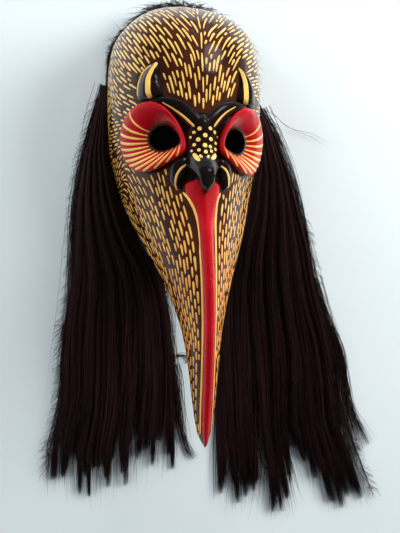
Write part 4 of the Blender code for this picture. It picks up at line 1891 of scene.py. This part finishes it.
    def crown(self) -> bpy.types.Object:
        """The roll of fibre round the crown, combed outwards and fuzzy.

        Returns:
            The roll.
        """
        rng = np.random.default_rng(self.seed)
        n = self.crown_count
        steps = np.linspace(0, 1, 400)
        reach = 0.084 * np.abs(2 * steps - 1) ** 1.6
        plan = np.stack([np.sign(steps - 0.5) * self.form.half_width(reach), self.form.wall / 2 - reach], -1)
        run = np.concatenate([[0], np.cumsum(np.linalg.norm(np.diff(plan, axis=0), axis=1))])
        at = rng.uniform(0, run[-1], n)
        x, y = (np.interp(at, run, plan[:, k]) for k in (0, 1))
        near = 0.004
        ahead, behind = (np.stack([np.interp(at + s, run, v) for v in plan.T], -1) for s in (near, -near))
        way = unit(ahead - behind)
        out = np.stack([-way[:, 1], way[:, 0]], -1)
        outward = np.abs(2 * at / run[-1] - 1)
        body = np.sqrt(np.clip(1 - outward**4, 0, 1)) * (1 - 0.6 * outward**2)
        t = np.linspace(0, 1, 6)[None, :]
        length = (0.003 + rng.exponential(0.0034, n) + 0.0070 * body)[:, None]
        length = length * (1 - 0.55 * ease(0.015, 0.06, -x))[:, None]
        thin = (1 - np.where(x < 0, 0.7, 0.45) * ease(0.030, 0.055, -y))[:, None]
        length = np.minimum(length * thin, self.fringe)
        lean = rng.normal(0, 0.6, (n, 1)) + 0.5 * np.sign(x)[:, None] * rng.uniform(0, 1, (n, 1))
        rise = rng.uniform(0.02, 1, (n, 1)) * 0.037 * (0.15 + 0.85 * body[:, None] ** 2) * thin
        reach_out = 0.0013 + length * t**0.8
        slide = lean * length * t**1.4
        px = x[:, None] + out[:, :1] * reach_out + way[:, :1] * slide
        py = y[:, None] + out[:, 1:] * reach_out + way[:, 1:] * slide
        pz = np.clip(rise * (1 - 0.35 * t**2) + rng.normal(0, 0.0016, (n, 1)) * t, 0.0006, None)
        radius = self.crown_radius * rng.uniform(0.5, 1.3, (n, 1)) * np.interp(t, (0, 0.6, 1), (1, 0.8, 0.1))
        return strands("crown_fringe", np.stack([px, py, pz], -1), radius, rng.uniform(0, 1, n))


# Floor, light and camera


@dataclass
class Studio:
    """A pale floor, soft light and a camera over the mask."""

    eye_point: tuple[float, float, float] = (-0.0875, -0.2840, 0.51)
    yaw: float = 12.0
    roll: float = 0.7
    lens: float = 29.11
    sensor: float = 36
    board: float = 4
    aim: tuple[float, float, float] = (0, -0.25, 0.03)
    lights: tuple[tuple, ...] = (
        # name, place, size, watts, colour, and whether reflections show it
        ("key", (1.6, 0.35, 1.0), 1.0, 54, (1.0, 0.99, 0.97), False),
        ("left", (-1.6, 0.3, 0.9), 1.2, 27, (0.94, 0.98, 1.0), False),
        ("beyond", (0.2, 1.9, 1.0), 1.6, 44, (0.97, 0.99, 1.0), False),
        ("small", (0.75, 1.0, 1.2), 0.5, 2.6, (1.0, 0.99, 0.97), True),
    )

    def camera(self) -> None:
        """Stand the camera over the mask."""
        yaw, roll = math.radians(self.yaw), math.radians(self.roll)
        right = Vector((math.cos(yaw), 0, math.sin(yaw)))
        up = Vector((0, 1, 0))
        back = Vector((-math.sin(yaw), 0, math.cos(yaw)))
        turned_right = right * math.cos(roll) - up * math.sin(roll)
        turned_up = up * math.cos(roll) + right * math.sin(roll)
        data = bpy.data.cameras.new("camera")
        data.lens = self.lens
        data.sensor_width = self.sensor
        data.clip_start = 0.01
        made = bpy.data.objects.new("camera", data)
        turn = Matrix((turned_right, turned_up, back)).transposed()
        made.matrix_world = Matrix.Translation(self.eye_point) @ turn.to_4x4()
        bpy.context.scene.collection.objects.link(made)
        bpy.context.scene.camera = made

    def floor(self) -> None:
        """Lay a large pale board under the mask."""
        form = bmesh.new()
        bmesh.ops.create_grid(form, x_segments=2, y_segments=2, size=self.board)
        made = link("floor", mesh_of("floor", form))
        made.location.z = -0.0002
        look = bpy.data.materials.new("pale board")
        hand, shader = shader_of(look)
        where = hand.add("ShaderNodeTexCoord").outputs["Object"]
        pale = hand.mix(hand.noise(where, 3, 3), (0.60, 0.675, 0.70, 1), (0.68, 0.74, 0.765, 1))
        hand.feed(shader.inputs["Base Color"], pale)
        shader.inputs["Roughness"].default_value = 0.8
        made.data.materials.append(look)

    def light(
        self, name: str, place: tuple[float, float, float], size: float, watts: float, colour: tuple
    ) -> bpy.types.Object:
        """Hang a soft square light that faces the mask.

        Args:
            name: Its name.
            place: Where it hangs.
            size: Its side.
            watts: Its power.
            colour: Its colour.

        Returns:
            The light.
        """
        data = bpy.data.lights.new(name, "AREA")
        data.size = size
        data.energy = watts
        data.color = colour
        made = bpy.data.objects.new(name, data)
        made.location = place
        aim = Vector(self.aim) - Vector(place)
        made.rotation_euler = aim.to_track_quat("-Z", "Y").to_euler()
        bpy.context.scene.collection.objects.link(made)
        return made

    def build(self) -> None:
        """Set up the whole studio."""
        self.camera()
        self.floor()
        for *settings, glossy in self.lights:
            self.light(*settings).visible_glossy = glossy
        bpy.context.scene.view_settings.view_transform = "Standard"
        world = bpy.data.worlds.new("studio")
        world.use_nodes = True
        hand = Nodes(world.node_tree)
        back = world.node_tree.nodes["Background"]
        parts = hand.add("ShaderNodeSeparateXYZ")
        hand.feed(parts.inputs[0], hand.add("ShaderNodeTexCoord").outputs["Generated"])
        height = hand.ramp(parts.outputs["Z"], 0.02, 0.42, 1, 0)
        hand.feed(back.inputs["Color"], hand.mix(height, (0.05, 0.05, 0.055, 1), (0.80, 0.88, 0.93, 1)))
        back.inputs["Strength"].default_value = 0.4
        bpy.context.scene.world = world


GROUND = Lacquer(
    "red-brown lacquer", (0.060, 0.0155, 0.0065), (0.031, 0.0085, 0.0045), coat=0.25, specular=0.3
)
RED = Lacquer("red lacquer", (0.47, 0.0045, 0.011), (0.36, 0.0035, 0.008), wear=0.3, coat=0.3, specular=0.3)
BLACK = Lacquer("black lacquer", (0.0105, 0.0055, 0.005), (0.006, 0.0035, 0.0035), wear=0.35)
YELLOW = Enamel("yellow enamel", (0.97, 0.62, 0.155), (0.90, 0.34, 0.05))


def add_piece(piece: bpy.types.Object, node: str | None = None) -> None:
    """Let a piece ride on the frame, and report it.

    Args:
        piece: The finished piece.
        node: The node that it stands for, if any.
    """
    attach(piece, "root")
    if node:
        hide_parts(node)
    log.info("%s: %d faces", piece.name, len(piece.data.polygons))


def main() -> None:
    """Build the pieces in order."""
    logging.basicConfig(level=logging.INFO, format="%(message)s")
    effects = SharedEffects()
    studio = Studio()
    studio.build()
    form = MaskForm()
    chart = Chart(form)
    finishes = {"ground": GROUND, "red": RED, "black": BLACK, "wood": BareWood("bare wood")}
    looks = {name: finish.material(effects) for name, finish in finishes.items()}
    yellow = YELLOW.material(effects)
    fibre = DarkFibre("dark fibre").material(effects)

    carved = CarvedMask(form, chart).build(looks)
    add_piece(carved, "mask")

    brush = Brush(carved, chart, Vector(studio.eye_point))
    painting = Painting(brush, EyeForm())
    painting.lay_lines()
    painting.lay_eye_stripes()
    lines = brush.finish("painted_lines")
    painting.lay_dashes()
    dashes = brush.finish("painted_dashes")
    for strokes in (lines, dashes):
        strokes.data.materials.append(yellow)
        add_piece(strokes)

    hair = Hair(form)
    for shape in (LEFT_FALL, RIGHT_FALL):
        for piece in hair.fall(shape):
            piece.data.materials.append(fibre)
            add_piece(piece, shape.node if piece.name.endswith("_mass") else None)
    for piece, node in ((hair.crown(), "hair_crown"), (hair.strays(), None)):
        piece.data.materials.append(fibre)
        add_piece(piece, node)


if __name__ == "__main__":
    main()
